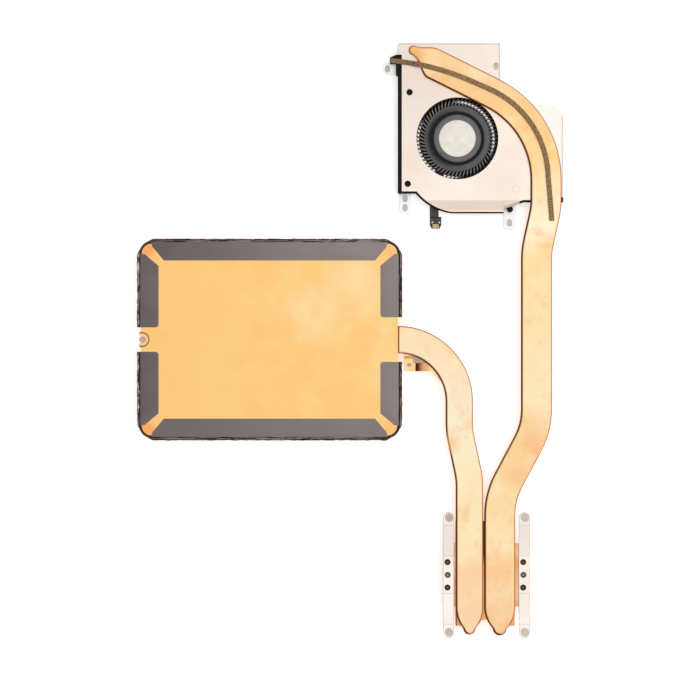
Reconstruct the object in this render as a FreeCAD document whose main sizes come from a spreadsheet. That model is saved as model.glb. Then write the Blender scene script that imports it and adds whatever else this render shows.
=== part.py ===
import FreeCAD, Part
import math
import os
import Sketcher

# Flat heat-pipe cooler of a slim tablet computer, seen lying on its processor side.
# The origin is the centre of the face that meets the processor, +Z points away from the circuit board,
# and +Y runs from the processor up to the fan. All sizes are in millimetres and degrees.

SIZES = {
    # Stack of layers, counted upwards from the processor face
    "pedestal_height": 1.0,
    "cold_plate_thickness": 1.2,
    "pipe_thickness": 1.2,
    "pipe_edge_ease": 0.35,
    "spreader_thickness": 0.5,
    "film_thickness": 0.2,
    "fan_cover_thickness": 0.4,
    "fan_frame_height": 3.4,
    "fan_base_thickness": 0.4,

    # Cold plate
    "pedestal_length": 30.0,
    "pedestal_width": 16.0,
    "cold_wing_half_length": 18.4,
    "cold_wing_half_width": 13.8,
    "cold_neck_left": -13.5,
    "cold_neck_right": 12.4,
    "cold_neck_top": 23.6,
    "cold_neck_bottom": -22.1,
    "cold_notch_half_width": 3.0,
    "cold_notch_flat_half": 1.0,
    "cold_notch_depth": 2.6,
    "cold_corner_radius": 0.6,

    # Leaf springs
    "spring_thickness": 0.5,
    "spring_width": 4.8,
    "spring_seat_half": 8.3,
    "spring_bend_reach": 21.4,
    "spring_rise": 1.0,
    "screw_spacing_x": 33.0,
    "screw_spacing_y": 50.0,
    "screw_hole_radius": 1.9,
    "fixing_clearance": 0.05,

    # Pipe from the processor to the fan
    "fan_pipe_width": 13.5,
    "fan_pipe_x": 5.8,
    "fan_pipe_mid_x": 21.8,
    "fan_pipe_top_x": 25.95,
    "fan_pipe_sway_start": 34.1,
    "fan_pipe_sway_end": 64.2,
    "fan_pipe_jog_start": 141.2,
    "fan_pipe_jog_end": 160.0,
    "fan_pipe_corner_y": 198.0,
    "fan_pipe_corner_radius": 42.0,
    "fan_pipe_turn": 63.4,
    "fan_pipe_end_run": 55.0,
    "sway_radius": 32.0,
    "crimp_shoulder_reach": 2.6,
    "crimp_shoulder_shift": 0.57,
    "crimp_shoulder_width": 11.6,
    "crimp_waist_reach": 5.4,
    "crimp_waist_shift": 1.26,
    "crimp_waist_width": 7.8,
    "crimp_neck_reach": 7.8,
    "crimp_neck_shift": 1.45,
    "crimp_neck_width": 5.0,
    "crimp_end_reach": 10.3,
    "crimp_end_shift": 1.33,
    "crimp_end_width": 4.0,

    # Pipe from the processor to the spreader plate
    "plate_pipe_width": 11.9,
    "plate_pipe_x": -7.4,
    "plate_pipe_upper_x": -11.8,
    "plate_pipe_sway_start": 42.0,
    "plate_pipe_sway_end": 62.7,
    "plate_pipe_bend_radius": 27.0,
    "plate_pipe_end_x": -128.0,

    # Rounded tongue at the closed end of each pipe
    "tongue_shoulder_y": -14.3,
    "tongue_mid_reach": 6.0,
    "tongue_end_reach": 9.0,
    "tongue_mid_share": 0.76,
    "tongue_end_share": 0.44,

    # Spreader plate
    "spreader_left": -150.2,
    "spreader_right": -38.5,
    "spreader_centre_y": 102.5,
    "spreader_half_width": 42.0,
    "spreader_corner_radius": 5.0,
    "ear_projection": 0.8,
    "ear_flat": 0.1,
    "ear_dimple_radius": 3.3,
    "ear_dimple_depth": 1.0,
    "ear_screw_radius": 1.6,
    "ear_screw_inset": 0.4,

    # Edge film round the spreader plate
    "film_flap_width": 7.6,
    "film_left_gap_half": 5.3,
    "film_right_gap_half": 9.7,
    "film_mitre_near": 4.8,
    "film_mitre_far": 9.9,
    "film_mitre_step": 1.5,
    "film_lip_width": 1.5,
    "film_standoff": 0.3,
    "film_skirt_flare": 1.9,
    "film_skirt_drop": 3.0,

    # Bracket under the bend of the spreader pipe
    "bracket_thickness": 0.4,
    "bracket_left": -35.8,
    "bracket_bottom": 88.7,
    "bracket_tab_width": 5.6,
    "bracket_tab_height": 6.7,
    "bracket_tab_drop": 0.8,
    "bracket_strip_width": 3.6,
    "bracket_strip_end": -23.4,
    "bracket_toe_x": -20.3,
    "bracket_toe_y": 84.2,
    "bracket_window_inset": 3.9,
    "bracket_window_rise": 1.2,
    "bracket_corner_radius": 1.0,
    "bracket_low_angle": 24.0,
    "bracket_middle_angle": 52.0,
    "bracket_high_angle": 78.0,
    "bracket_end_angle": 86.0,
    "bracket_hole_radius": 1.0,
    "bracket_hole_inset_x": 2.3,
    "bracket_hole_inset_y": 3.0,

    # Fan housing outline
    "case_left": -38.5,
    "case_top": 231.5,
    "case_side_top": 226.5,
    "case_step_x": 6.05,
    "case_step_top": 213.6,
    "case_step_right": 19.0,
    "case_step_y": 204.75,
    "case_right": 33.5,
    "case_corner_radius": 6.5,
    "case_heel_x": 16.4,
    "case_heel_y": 162.3,
    "case_floor_right": 7.6,
    "case_notch_height": 1.9,
    "case_floor_left": -15.2,
    "case_floor_y": 157.5,
    "case_shoulder_x": -30.7,
    "case_shoulder_y": 166.1,
    "case_belly_x": -24.4,
    "case_belly_y": 158.9,
    "case_belly_radius": 24.6,
    "case_wall": 2.2,
    "cavity_slant_shift": 1.1,
    "cavity_notch_rise": 1.8,
    "cavity_heel_shift": 0.4,
    "cover_side_inset": 1.7,
    "cover_foot_inset": 0.9,
    "cover_floor_inset": 0.6,
    "cover_slant_shift": 0.36,
    "cover_top_inset": 0.45,
    "border_bend_y": 162.9,
    "border_foot_y": 158.9,
    "border_drop": 0.4,
    "inlet_radius": 17.8,
    "volute_radius": 7.0,

    # Ears, slots, lug and posts of the fan
    "upper_ear_reach": 6.9,
    "upper_ear_y": 220.6,
    "upper_ear_width": 5.2,
    "lower_ear_left": -37.8,
    "lower_ear_width": 4.9,
    "lower_ear_end": 157.3,
    "right_ear_left": 7.5,
    "right_ear_width": 5.4,
    "right_ear_end": 150.3,
    "hanging_ear_radius": 2.0,
    "ear_slot_width": 2.1,
    "ear_slot_length": 3.0,
    "upper_slot_x": -43.0,
    "lower_slot_upper_y": 164.1,
    "lower_slot_lower_y": 160.0,
    "right_slot_y": 153.4,
    "cover_slot_x": 4.2,
    "cover_slot_y": 221.5,
    "post_radius": 1.3,
    "post_web": 0.6,
    "post_head": 0.15,
    "upper_post_x": -33.4,
    "upper_post_y": 210.2,
    "lower_post_x": -34.2,
    "lower_post_y": 170.3,
    "peg_x": 10.4,
    "peg_y": 159.3,
    "peg_height": 2.4,
    "lug_reach": 3.4,
    "lug_height": 3.9,
    "lug_slope": 1.2,
    "lug_foot_reach": 0.8,
    "lug_foot_height": 9.2,

    # Fins under the fan pipe
    "fin_thickness": 0.2,
    "fin_pitch": 1.6,
    "fin_strip_thickness": 0.2,
    "fin_edge_inset": 0.3,
    "fin_fan_gap": 1.5,
    "fin_straight_count": 3,
    "fin_arc_count": 29,
    "fin_slant_count": 16,

    # Impeller
    "fan_x": -12.6,
    "fan_y": 190.1,
    "impeller_radius": 19.3,
    "blade_root_radius": 14.4,
    "blade_count": 61,
    "blade_thickness": 0.6,
    "blade_lean": 1.4,
    "rotor_floor_gap": 0.4,
    "rotor_height": 2.6,
    "hub_disc_thickness": 0.6,
    "hub_cap_radius": 11.3,
    "hub_step": 0.5,
    "hub_wall": 0.6,
    "label_radius": 8.0,
    "label_thickness": 0.08,

    # Motor inside the hub
    "yoke_outer_radius": 7.7,
    "yoke_wall": 0.35,
    "magnet_wall": 0.95,
    "air_gap": 0.3,
    "shaft_radius": 0.75,
    "shaft_clearance": 0.02,
    "sleeve_wall": 0.75,
    "housing_wall": 0.7,
    "thrust_pad_thickness": 0.3,
    "housing_height": 1.95,
    "core_height": 0.8,
    "core_ring_wall": 1.1,
    "tooth_count": 9,
    "tooth_width": 0.9,
    "tooth_tip_width": 3.4,
    "tooth_tip_depth": 0.6,
    "coil_build": 0.4,
    "coil_end_gap": 0.15,
    "coil_lift": 0.05,

    # Motor circuit strip and its plug
    "flex_thickness": 0.2,
    "flex_radius": 8.4,
    "flex_root_reach": 6.3,
    "flex_root_near": 2.1,
    "flex_root_far": 3.2,
    "flex_left": -24.5,
    "flex_tail_width": 3.8,
    "flex_head_width": 5.0,
    "flex_head_top": 156.0,
    "flex_head_chamfer": 1.2,
    "flex_end": 150.9,
    "flex_notch_clearance": 0.1,
    "plug_width": 3.7,
    "plug_length": 2.1,
    "plug_height": 0.8,
    "contact_count": 5,
    "contact_width": 0.3,
    "contact_pitch": 0.55,
    "contact_thickness": 0.1,

    # Foam strip along the fan pipe
    "foam_width": 2.3,
    "foam_thickness": 1.0,
    "foam_start_x": -41.7,
    "foam_start_y": 224.0,
    "foam_first_corner_x": -21.5,
    "foam_first_corner_y": 221.5,
    "foam_first_radius": 110.0,
    "foam_corner_shift_x": -1.35,
    "foam_corner_shift_y": 3.3,
    "foam_corner_radius": 42.5,
    "foam_end_shift_x": 3.9,
    "foam_end_y": 154.1,
    "foam_step_gap": 0.5,
    "foam_step_wall": 0.8,
}

doc = FreeCAD.newDocument("tablet_cooler")
sheet = doc.addObject("Spreadsheet::Sheet", "Sizes")
for row, (name, amount) in enumerate(SIZES.items(), start=1):
    sheet.set(f"A{row}", name)
    sheet.set(f"B{row}", str(amount))
    sheet.setAlias(f"B{row}", name)
doc.recompute()


class Size:
    """A number together with the spreadsheet expression that works it out."""

    def __init__(self, text, number):
        self.text = text
        self.number = number

    def join(self, sign, other, number):
        return Size(f"({self.text} {sign} {other.text})", number)

    def __add__(self, other):
        other = as_size(other)
        return self.join("+", other, self.number + other.number)

    def __sub__(self, other):
        other = as_size(other)
        return self.join("-", other, self.number - other.number)

    def __mul__(self, other):
        other = as_size(other)
        return self.join("*", other, self.number * other.number)

    def __truediv__(self, other):
        other = as_size(other)
        return self.join("/", other, self.number / other.number)

    def __radd__(self, other):
        return as_size(other) + self

    def __rsub__(self, other):
        return as_size(other) - self

    def __rmul__(self, other):
        return as_size(other) * self

    def __neg__(self):
        return as_size(0) - self


def as_size(amount):
    if isinstance(amount, Size):
        return amount
    return Size(str(amount), float(amount))


def sine(angle):
    return Size(f"sin({angle.text})", math.sin(math.radians(angle.number)))


def cosine(angle):
    return Size(f"cos({angle.text})", math.cos(math.radians(angle.number)))


def tangent(angle):
    return Size(f"tan({angle.text})", math.tan(math.radians(angle.number)))


class Sheet:
    """The named sizes of the spreadsheet, such as size.pipe_thickness."""

    def __getattr__(self, name):
        return Size(f"Sizes.{name}", float(sheet.get(name)))


size = Sheet()

# Levels of the stack
base_top = size.pedestal_height + size.cold_plate_thickness
pipe_top = base_top + size.pipe_thickness
pipe_middle = base_top + size.pipe_thickness / 2
spreader_top = pipe_top + size.spreader_thickness
cover_floor = base_top - size.fan_cover_thickness
frame_floor = cover_floor - size.fan_frame_height
fan_floor = frame_floor - size.fan_base_thickness

# Levels inside the fan
rotor_floor = frame_floor + size.rotor_floor_gap
rotor_top = rotor_floor + size.rotor_height
hub_disc_floor = rotor_top - size.hub_disc_thickness
yoke_ceiling = hub_disc_floor - size.yoke_wall
flex_top = frame_floor + size.flex_thickness
coil_floor = flex_top + size.coil_lift
core_floor = coil_floor + size.coil_build

parts = []
cuts = []


def set_size(item, name, amount):
    """Bind a property of a feature to the sheet."""
    item.setExpression(name, as_size(amount).text)


def new_body(label):
    body = doc.addObject("PartDesign::Body", label)
    body.Label = label
    body.Placement = FreeCAD.Placement()
    parts.append(body)
    return body


def new_sketch(body, name, role, base, turn=None, axis=None):
    """Attach a sketch to one of the body's own origin planes, moved and turned by sizes."""
    sketch = body.newObject("Sketcher::SketchObject", name)
    plane = next(item for item in body.Origin.OriginFeatures if item.Role == role)
    sketch.AttachmentSupport = [(plane, "")]
    sketch.MapMode = "FlatFace"
    offset = FreeCAD.Vector(*[as_size(part).number for part in base])
    rotation = FreeCAD.Rotation()
    if turn is not None:
        rotation = FreeCAD.Rotation(axis, turn.number)
    sketch.AttachmentOffset = FreeCAD.Placement(offset, rotation)
    for direction, part in zip("xyz", base):
        set_size(sketch, f"AttachmentOffset.Base.{direction}", part)
    if turn is not None:
        set_size(sketch, "AttachmentOffset.Rotation.Angle", turn)
    return sketch


def flat_sketch(body, name, level, x=0, y=0, turn=None):
    """A sketch in plan at a level, with its own origin at x, y."""
    return new_sketch(body, name, "XY_Plane", (x, y, level), turn, FreeCAD.Vector(0, 0, 1))


def front_sketch(body, name, x=0, y=0, z=0, turn=None):
    """An upright sketch whose first axis runs along +X, or is turned from it in plan."""
    return new_sketch(body, name, "XZ_Plane", (x, z, -as_size(y)), turn, FreeCAD.Vector(0, 1, 0))


def side_sketch(body, name, x):
    """An upright sketch across X, whose first axis runs along +Y."""
    return new_sketch(body, name, "YZ_Plane", (0, 0, x))


def bend_between(before, here, after, radius):
    """Where a tangent arc leaves one run and joins the next, with its centre and its turning side."""
    incoming = (before - here).normalize()
    outgoing = (after - here).normalize()
    half = incoming.getAngle(outgoing) / 2
    reach = radius / math.tan(half)
    centre = here + (incoming + outgoing).normalize() * (radius / math.sin(half))
    leftward = incoming.cross(outgoing).z < 0
    return here + incoming * reach, here + outgoing * reach, centre, leftward


def draw(sketch, corners, closed=True):
    """Straight runs between corners (x, y) or (x, y, radius), with a tangent arc at each radius."""
    places = [FreeCAD.Vector(as_size(c[0]).number, as_size(c[1]).number, 0) for c in corners]
    count = len(corners)
    bends = {}
    for index, corner in enumerate(corners):
        if len(corner) == 3:
            before = places[index - 1]
            after = places[(index + 1) % count]
            bends[index] = bend_between(before, places[index], after, as_size(corner[2]).number)

    first = sketch.GeometryCount
    runs = count if closed else count - 1
    shapes = []
    for index in range(runs):
        following = (index + 1) % count
        start = bends[index][1] if index in bends else places[index]
        end = bends[following][0] if following in bends else places[following]
        shapes.append(Part.LineSegment(start, end))
    sketch.addGeometry(shapes, False)

    rules = []
    bound = []

    def place(item, point, corner):
        for kind, part in zip(("DistanceX", "DistanceY"), corner[:2]):
            bound.append((len(rules), part))
            rules.append(Sketcher.Constraint(kind, -1, 1, item, point, as_size(part).number))

    for index, corner in enumerate(corners):
        leaving = first + index
        arriving = first + (index - 1) % count
        if index in bends:
            start, end, centre, leftward = bends[index]
            if not leftward:
                start, end = end, start
            begin = math.atan2(start.y - centre.y, start.x - centre.x)
            stop = math.atan2(end.y - centre.y, end.x - centre.x)
            if stop < begin:
                stop += 2 * math.pi
            radius = as_size(corner[2])
            circle = Part.Circle(centre, FreeCAD.Vector(0, 0, 1), radius.number)
            arc = sketch.addGeometry(Part.ArcOfCircle(circle, begin, stop), False)
            point = sketch.addGeometry(Part.Point(places[index]), True)
            place(point, 1, corner)
            rules.append(Sketcher.Constraint("PointOnObject", point, 1, arriving))
            rules.append(Sketcher.Constraint("PointOnObject", point, 1, leaving))
            rules.append(Sketcher.Constraint("Tangent", arriving, 2, arc, 1 if leftward else 2))
            rules.append(Sketcher.Constraint("Tangent", leaving, 1, arc, 2 if leftward else 1))
            bound.append((len(rules), radius))
            rules.append(Sketcher.Constraint("Radius", arc, radius.number))
        elif not closed and index == count - 1:
            place(arriving, 2, corner)
        else:
            place(leaving, 1, corner)
            if closed or index > 0:
                rules.append(Sketcher.Constraint("Coincident", arriving, 2, leaving, 1))
    apply_rules(sketch, rules, bound)


def apply_rules(sketch, rules, bound):
    numbers = sketch.addConstraint(rules)
    for index, part in bound:
        if isinstance(part, Size):
            set_size(sketch, f"Constraints[{numbers[index]}]", part)


def draw_circle(sketch, x, y, radius):
    centre = FreeCAD.Vector(as_size(x).number, as_size(y).number, 0)
    circle = Part.Circle(centre, FreeCAD.Vector(0, 0, 1), radius.number)
    item = sketch.addGeometry(circle, False)
    rules = [
        Sketcher.Constraint("DistanceX", -1, 1, item, 3, centre.x),
        Sketcher.Constraint("DistanceY", -1, 1, item, 3, centre.y),
        Sketcher.Constraint("Radius", item, radius.number),
    ]
    apply_rules(sketch, rules, [(0, x), (1, y), (2, radius)])


def draw_slot(sketch, x, y, width, length):
    """A round-ended slot along the sketch's second axis."""
    reach = (length - width) / 2
    radius = width / 2
    x = as_size(x)
    y = as_size(y)
    normal = FreeCAD.Vector(0, 0, 1)
    high = FreeCAD.Vector(x.number, (y + reach).number, 0)
    low = FreeCAD.Vector(x.number, (y - reach).number, 0)
    side = FreeCAD.Vector(radius.number, 0, 0)
    first = sketch.GeometryCount
    sketch.addGeometry([
        Part.ArcOfCircle(Part.Circle(high, normal, radius.number), 0, math.pi),
        Part.ArcOfCircle(Part.Circle(low, normal, radius.number), math.pi, 2 * math.pi),
        Part.LineSegment(low + side, high + side),
        Part.LineSegment(high - side, low - side),
    ], False)
    upper, lower, right, left = range(first, first + 4)
    rules = [
        Sketcher.Constraint("DistanceX", -1, 1, upper, 3, high.x),
        Sketcher.Constraint("DistanceY", -1, 1, upper, 3, high.y),
        Sketcher.Constraint("DistanceX", -1, 1, lower, 3, low.x),
        Sketcher.Constraint("DistanceY", -1, 1, lower, 3, low.y),
        Sketcher.Constraint("Radius", upper, radius.number),
        Sketcher.Constraint("Tangent", lower, 2, right, 1),
        Sketcher.Constraint("Tangent", right, 2, upper, 1),
        Sketcher.Constraint("Tangent", upper, 2, left, 1),
        Sketcher.Constraint("Tangent", left, 2, lower, 1),
    ]
    apply_rules(sketch, rules, [(0, x), (1, y + reach), (2, x), (3, y - reach), (4, radius)])


def pipe_profile(width):
    """Half of a flattened pipe's section, from its underside round the eased edge to its top."""
    half = size.pipe_thickness / 2
    ease = size.pipe_edge_ease
    reach = width / 2
    return [
        (reach - ease, -half),
        (reach, ease - half),
        (reach, half - ease),
        (reach - ease, half),
    ]


def pad(body, sketch, length):
    feature = body.newObject("PartDesign::Pad", f"{sketch.Name}_pad")
    feature.Profile = sketch
    set_size(feature, "Length", length)
    return feature


def pocket(body, sketch, depth):
    """Cut downwards from the sketch."""
    feature = body.newObject("PartDesign::Pocket", f"{sketch.Name}_cut")
    feature.Profile = sketch
    set_size(feature, "Length", depth)
    cuts.append(feature)
    return feature


def revolve(body, sketch):
    feature = body.newObject("PartDesign::Revolution", f"{sketch.Name}_turn")
    feature.Profile = sketch
    feature.ReferenceAxis = (sketch, ["V_Axis"])
    feature.Angle = 360
    return feature


def sweep(body, section, path):
    feature = body.newObject("PartDesign::AdditivePipe", f"{section.Name}_sweep")
    feature.Profile = section
    feature.Spine = (path, [])
    return feature


def loft(body, sections):
    feature = body.newObject("PartDesign::AdditiveLoft", f"{sections[0].Name}_loft")
    feature.Profile = sections[0]
    feature.Sections = sections[1:]
    return feature


def turned(label, profile):
    """A piece turned about the impeller's axis from a closed profile of radius and height."""
    body = new_body(label)
    sketch = front_sketch(body, f"{label}_profile", size.fan_x, size.fan_y)
    draw(sketch, profile)
    revolve(body, sketch)
    return body


def ring(inner, outer, low, high):
    """The profile of a plain ring, or of a disc where the inner radius is nought."""
    return [(inner, low), (outer, low), (outer, high), (inner, high)]


# Cold plate with its raised contact face, and the springs on its wings

spring_xs = (size.screw_spacing_x / -2, size.screw_spacing_x / 2)


def make_cold_plate():
    body = new_body("cold_plate")
    contact = flat_sketch(body, "contact_face", 0)
    half_length = size.pedestal_length / 2
    half_width = size.pedestal_width / 2
    draw(contact, [
        (-half_length, -half_width),
        (half_length, -half_width),
        (half_length, half_width),
        (-half_length, half_width),
    ])
    pad(body, contact, size.pedestal_height)

    outline = flat_sketch(body, "cold_outline", size.pedestal_height)
    radius = size.cold_corner_radius
    wing_x = size.cold_wing_half_length
    wing_y = size.cold_wing_half_width
    notch_x = (size.fan_pipe_x + size.plate_pipe_x) / 2
    notch_y = size.cold_neck_bottom + size.cold_notch_depth
    notch_half = size.cold_notch_half_width
    draw(outline, [
        (-wing_x, wing_y, radius),
        (-wing_x, -wing_y, radius),
        (size.cold_neck_left, -wing_y),
        (size.cold_neck_left, size.cold_neck_bottom),
        (notch_x - notch_half, size.cold_neck_bottom),
        (notch_x - size.cold_notch_flat_half, notch_y),
        (notch_x + size.cold_notch_flat_half, notch_y),
        (notch_x + notch_half, size.cold_neck_bottom),
        (size.cold_neck_right, size.cold_neck_bottom),
        (size.cold_neck_right, -wing_y),
        (wing_x, -wing_y, radius),
        (wing_x, wing_y, radius),
        (size.cold_neck_right, wing_y),
        (size.cold_neck_right, size.cold_neck_top),
        (size.cold_neck_left, size.cold_neck_top),
        (size.cold_neck_left, wing_y),
    ])
    pad(body, outline, size.cold_plate_thickness)



def make_leaf_spring(label, x):
    """A strip bent up at both ends, with a screw eye at each."""
    body = new_body(label)
    half = size.spring_width / 2
    profile = side_sketch(body, f"{label}_profile", x - half)
    end = size.screw_spacing_y / 2 + half
    bend = size.spring_bend_reach
    seat = size.spring_seat_half
    low = base_top
    high = base_top + size.spring_rise
    thickness = size.spring_thickness
    underside = [(-end, high), (-bend, high), (-seat, low), (seat, low), (bend, high), (end, high)]
    upper_side = [(y, z + thickness) for y, z in reversed(underside)]
    draw(profile, underside + upper_side)
    pad(body, profile, size.spring_width)

    margin = size.spring_width
    trim = flat_sketch(body, f"{label}_ends", high + thickness)
    draw(trim, [
        (x - margin, -end - margin),
        (x + margin, -end - margin),
        (x + margin, end + margin),
        (x - margin, end + margin),
    ])
    draw_slot(trim, x, 0, size.spring_width, end * 2)
    pocket(body, trim, size.spring_rise + thickness * 2)

    holes = flat_sketch(body, f"{label}_holes", high + thickness)
    for y in (size.screw_spacing_y / 2, size.screw_spacing_y / -2):
        draw_circle(holes, x, y, size.screw_hole_radius)
    pocket(body, holes, size.spring_rise + thickness * 2)


# Heat pipes

def pipe_section(body, name, x, y, turn, width):
    """A flattened section across the pipe at x, y, turned in plan from the X axis."""
    section = front_sketch(body, name, x, y, pipe_middle, turn)
    right_side = pipe_profile(width)
    left_side = [(-across, rise) for across, rise in reversed(right_side)]
    draw(section, right_side + left_side)
    return section


def round_off(body, name, x, y, turn, width, reverse=False):
    """Close a pipe's end with half a turn of its own eased section."""
    profile = front_sketch(body, name, x, y, pipe_middle, turn)
    half = size.pipe_thickness / 2
    draw(profile, [(0, -half)] + pipe_profile(width) + [(0, half)])
    feature = revolve(body, profile)
    feature.Angle = 180
    feature.Reversed = reverse


def taper(body, name, x, y, turn, heading, width):
    """The tapering end of a pipe and the place where it stops: heading is its plan direction (x, y)."""
    reaches = (as_size(0), size.tongue_mid_reach, size.tongue_end_reach)
    shares = (as_size(1), size.tongue_mid_share, size.tongue_end_share)
    sections = []
    for index, (reach, share) in enumerate(zip(reaches, shares)):
        place = (x + reach * heading[0], y + reach * heading[1])
        sections.append(pipe_section(body, f"{name}_section_{index}", *place, turn, width * share))
    loft(body, sections)
    return place


def tongue(body, name, x, y, width):
    """A pipe's tapering end that points away from the fan, closed round."""
    place = taper(body, name, x, y, None, (0, -1), width)
    round_off(body, f"{name}_tip", *place, None, width * size.tongue_end_share, True)


def make_fan_pipe():
    body = new_body("fan_heat_pipe")
    width = size.fan_pipe_width
    path = flat_sketch(body, "fan_pipe_path", pipe_middle)
    turn = size.fan_pipe_turn
    ahead_x = -sine(turn)
    ahead_y = cosine(turn)
    end_x = size.fan_pipe_top_x + ahead_x * size.fan_pipe_end_run
    end_y = size.fan_pipe_corner_y + ahead_y * size.fan_pipe_end_run
    draw(path, [
        (size.fan_pipe_x, size.tongue_shoulder_y),
        (size.fan_pipe_x, size.fan_pipe_sway_start, size.sway_radius),
        (size.fan_pipe_mid_x, size.fan_pipe_sway_end, size.sway_radius),
        (size.fan_pipe_mid_x, size.fan_pipe_jog_start, size.sway_radius),
        (size.fan_pipe_top_x, size.fan_pipe_jog_end, size.sway_radius),
        (size.fan_pipe_top_x, size.fan_pipe_corner_y, size.fan_pipe_corner_radius),
        (end_x, end_y),
    ], closed=False)
    section = pipe_section(body, "fan_pipe_section", size.fan_pipe_x, size.tongue_shoulder_y, None, width)
    sweep(body, section, path)
    tongue(body, "fan_tongue", size.fan_pipe_x, size.tongue_shoulder_y, width)

    def crimp(reach, shift):
        """A place past the end of the run, shifted towards the pipe's outer side."""
        return end_x + ahead_x * reach + ahead_y * shift, end_y + ahead_y * reach - ahead_x * shift

    stations = [
        (as_size(0), as_size(0), width),
        (size.crimp_shoulder_reach, size.crimp_shoulder_shift, size.crimp_shoulder_width),
        (size.crimp_waist_reach, size.crimp_waist_shift, size.crimp_waist_width),
        (size.crimp_neck_reach, size.crimp_neck_shift, size.crimp_neck_width),
        (size.crimp_end_reach, size.crimp_end_shift, size.crimp_end_width),
    ]
    sections = []
    for index, (reach, shift, across) in enumerate(stations):
        x, y = crimp(reach, shift)
        sections.append(pipe_section(body, f"crimp_section_{index}", x, y, turn, across))
    loft(body, sections)
    round_off(body, "crimp_nib", x, y, turn, size.crimp_end_width)


def make_spreader_pipe():
    body = new_body("spreader_heat_pipe")
    width = size.plate_pipe_width
    path = flat_sketch(body, "plate_pipe_path", pipe_middle)
    draw(path, [
        (size.plate_pipe_x, size.tongue_shoulder_y),
        (size.plate_pipe_x, size.plate_pipe_sway_start, size.sway_radius),
        (size.plate_pipe_upper_x, size.plate_pipe_sway_end, size.sway_radius),
        (size.plate_pipe_upper_x, size.spreader_centre_y, size.plate_pipe_bend_radius),
        (size.plate_pipe_end_x, size.spreader_centre_y),
    ], closed=False)
    start = (size.plate_pipe_x, size.tongue_shoulder_y)
    section = pipe_section(body, "plate_pipe_section", *start, None, width)
    sweep(body, section, path)
    tongue(body, "plate_tongue", *start, width)
    far_end = (size.plate_pipe_end_x, size.spreader_centre_y)
    taper(body, "far_end", *far_end, as_size(90), (-1, 0), width)


# Spreader plate and the film folded over its edges

def make_spreader_plate():
    body = new_body("heat_spreader_plate")
    left = size.spreader_left
    right = size.spreader_right
    top = size.spreader_centre_y + size.spreader_half_width
    bottom = size.spreader_centre_y - size.spreader_half_width
    radius = size.spreader_corner_radius
    outline = flat_sketch(body, "spreader_outline", pipe_top)
    draw(outline, [
        (left, bottom, radius),
        (right, bottom, radius),
        (right, top, radius),
        (left, top, radius),
    ])
    pad(body, outline, size.spreader_thickness)

    screw_x = left + size.ear_screw_inset
    centre = size.spreader_centre_y

    def ear(name, level, reach, end):
        """A U open to the left, round on its right, about the screw's centre."""
        sketch = flat_sketch(body, name, level)
        draw(sketch, [
            (end, centre - reach),
            (screw_x + reach, centre - reach, reach - size.ear_flat),
            (screw_x + reach, centre + reach, reach - size.ear_flat),
            (end, centre + reach),
        ])
        return sketch

    wall = size.spreader_thickness
    end = left - size.ear_projection
    depth = size.ear_dimple_depth
    boss = ear("ear_boss", pipe_top - depth, size.ear_dimple_radius, end)
    pad(body, boss, depth + wall)
    dimple = ear("ear_dimple", spreader_top, size.ear_dimple_radius - wall, end - wall)
    pocket(body, dimple, depth)
    screw = ear("ear_screw", spreader_top, size.ear_screw_radius, end - wall)
    pocket(body, screw, depth + wall * 2)


def make_edge_film(label, side):
    """One half of the film: side is 1 for the half nearer the fan and -1 for the other."""
    body = new_body(label)
    left = size.spreader_left
    right = size.spreader_right
    centre = size.spreader_centre_y
    edge = centre + size.spreader_half_width * side
    left_gap = centre + size.film_left_gap_half * side
    right_gap = centre + size.film_right_gap_half * side
    radius = size.spreader_corner_radius
    path = flat_sketch(body, f"{label}_path", spreader_top)
    draw(path, [
        (left, left_gap),
        (left, edge, radius),
        (right, edge, radius),
        (right, right_gap),
    ], closed=False)

    film = size.film_thickness
    lip = size.film_lip_width
    off = size.film_standoff
    flare = size.film_skirt_flare
    hem = film - size.film_skirt_drop
    section = front_sketch(body, f"{label}_section", left, left_gap, spreader_top)
    draw(section, [
        (lip, 0),
        (lip, film),
        (-off - film, film),
        (-flare - film, hem),
        (-flare, hem),
        (-off, 0),
    ])
    sweep(body, section, path)

    flap = size.film_flap_width
    near = size.film_mitre_near
    far = size.film_mitre_far
    step = size.film_mitre_step

    def inward(depth):
        """A Y place at a depth in from the edge that this half covers."""
        return edge - depth * side

    for name, start, gap, sign in (("left", left, left_gap, 1), ("right", right, right_gap, -1)):
        flap_sketch = flat_sketch(body, f"{label}_{name}_flap", spreader_top)
        draw(flap_sketch, [
            (start, gap),
            (start + flap * sign, gap),
            (start + flap * sign, inward(far)),
            (start + step * sign, inward(near)),
            (start, inward(near)),
        ])
        pad(body, flap_sketch, film)
    end_sketch = flat_sketch(body, f"{label}_end_flap", spreader_top)
    draw(end_sketch, [
        (left + near, inward(0)),
        (left + near, inward(step)),
        (left + far, inward(flap)),
        (right - far, inward(flap)),
        (right - near, inward(step)),
        (right - near, inward(0)),
    ])
    pad(body, end_sketch, film)


# Bracket soldered under the bend of the spreader pipe

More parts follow.
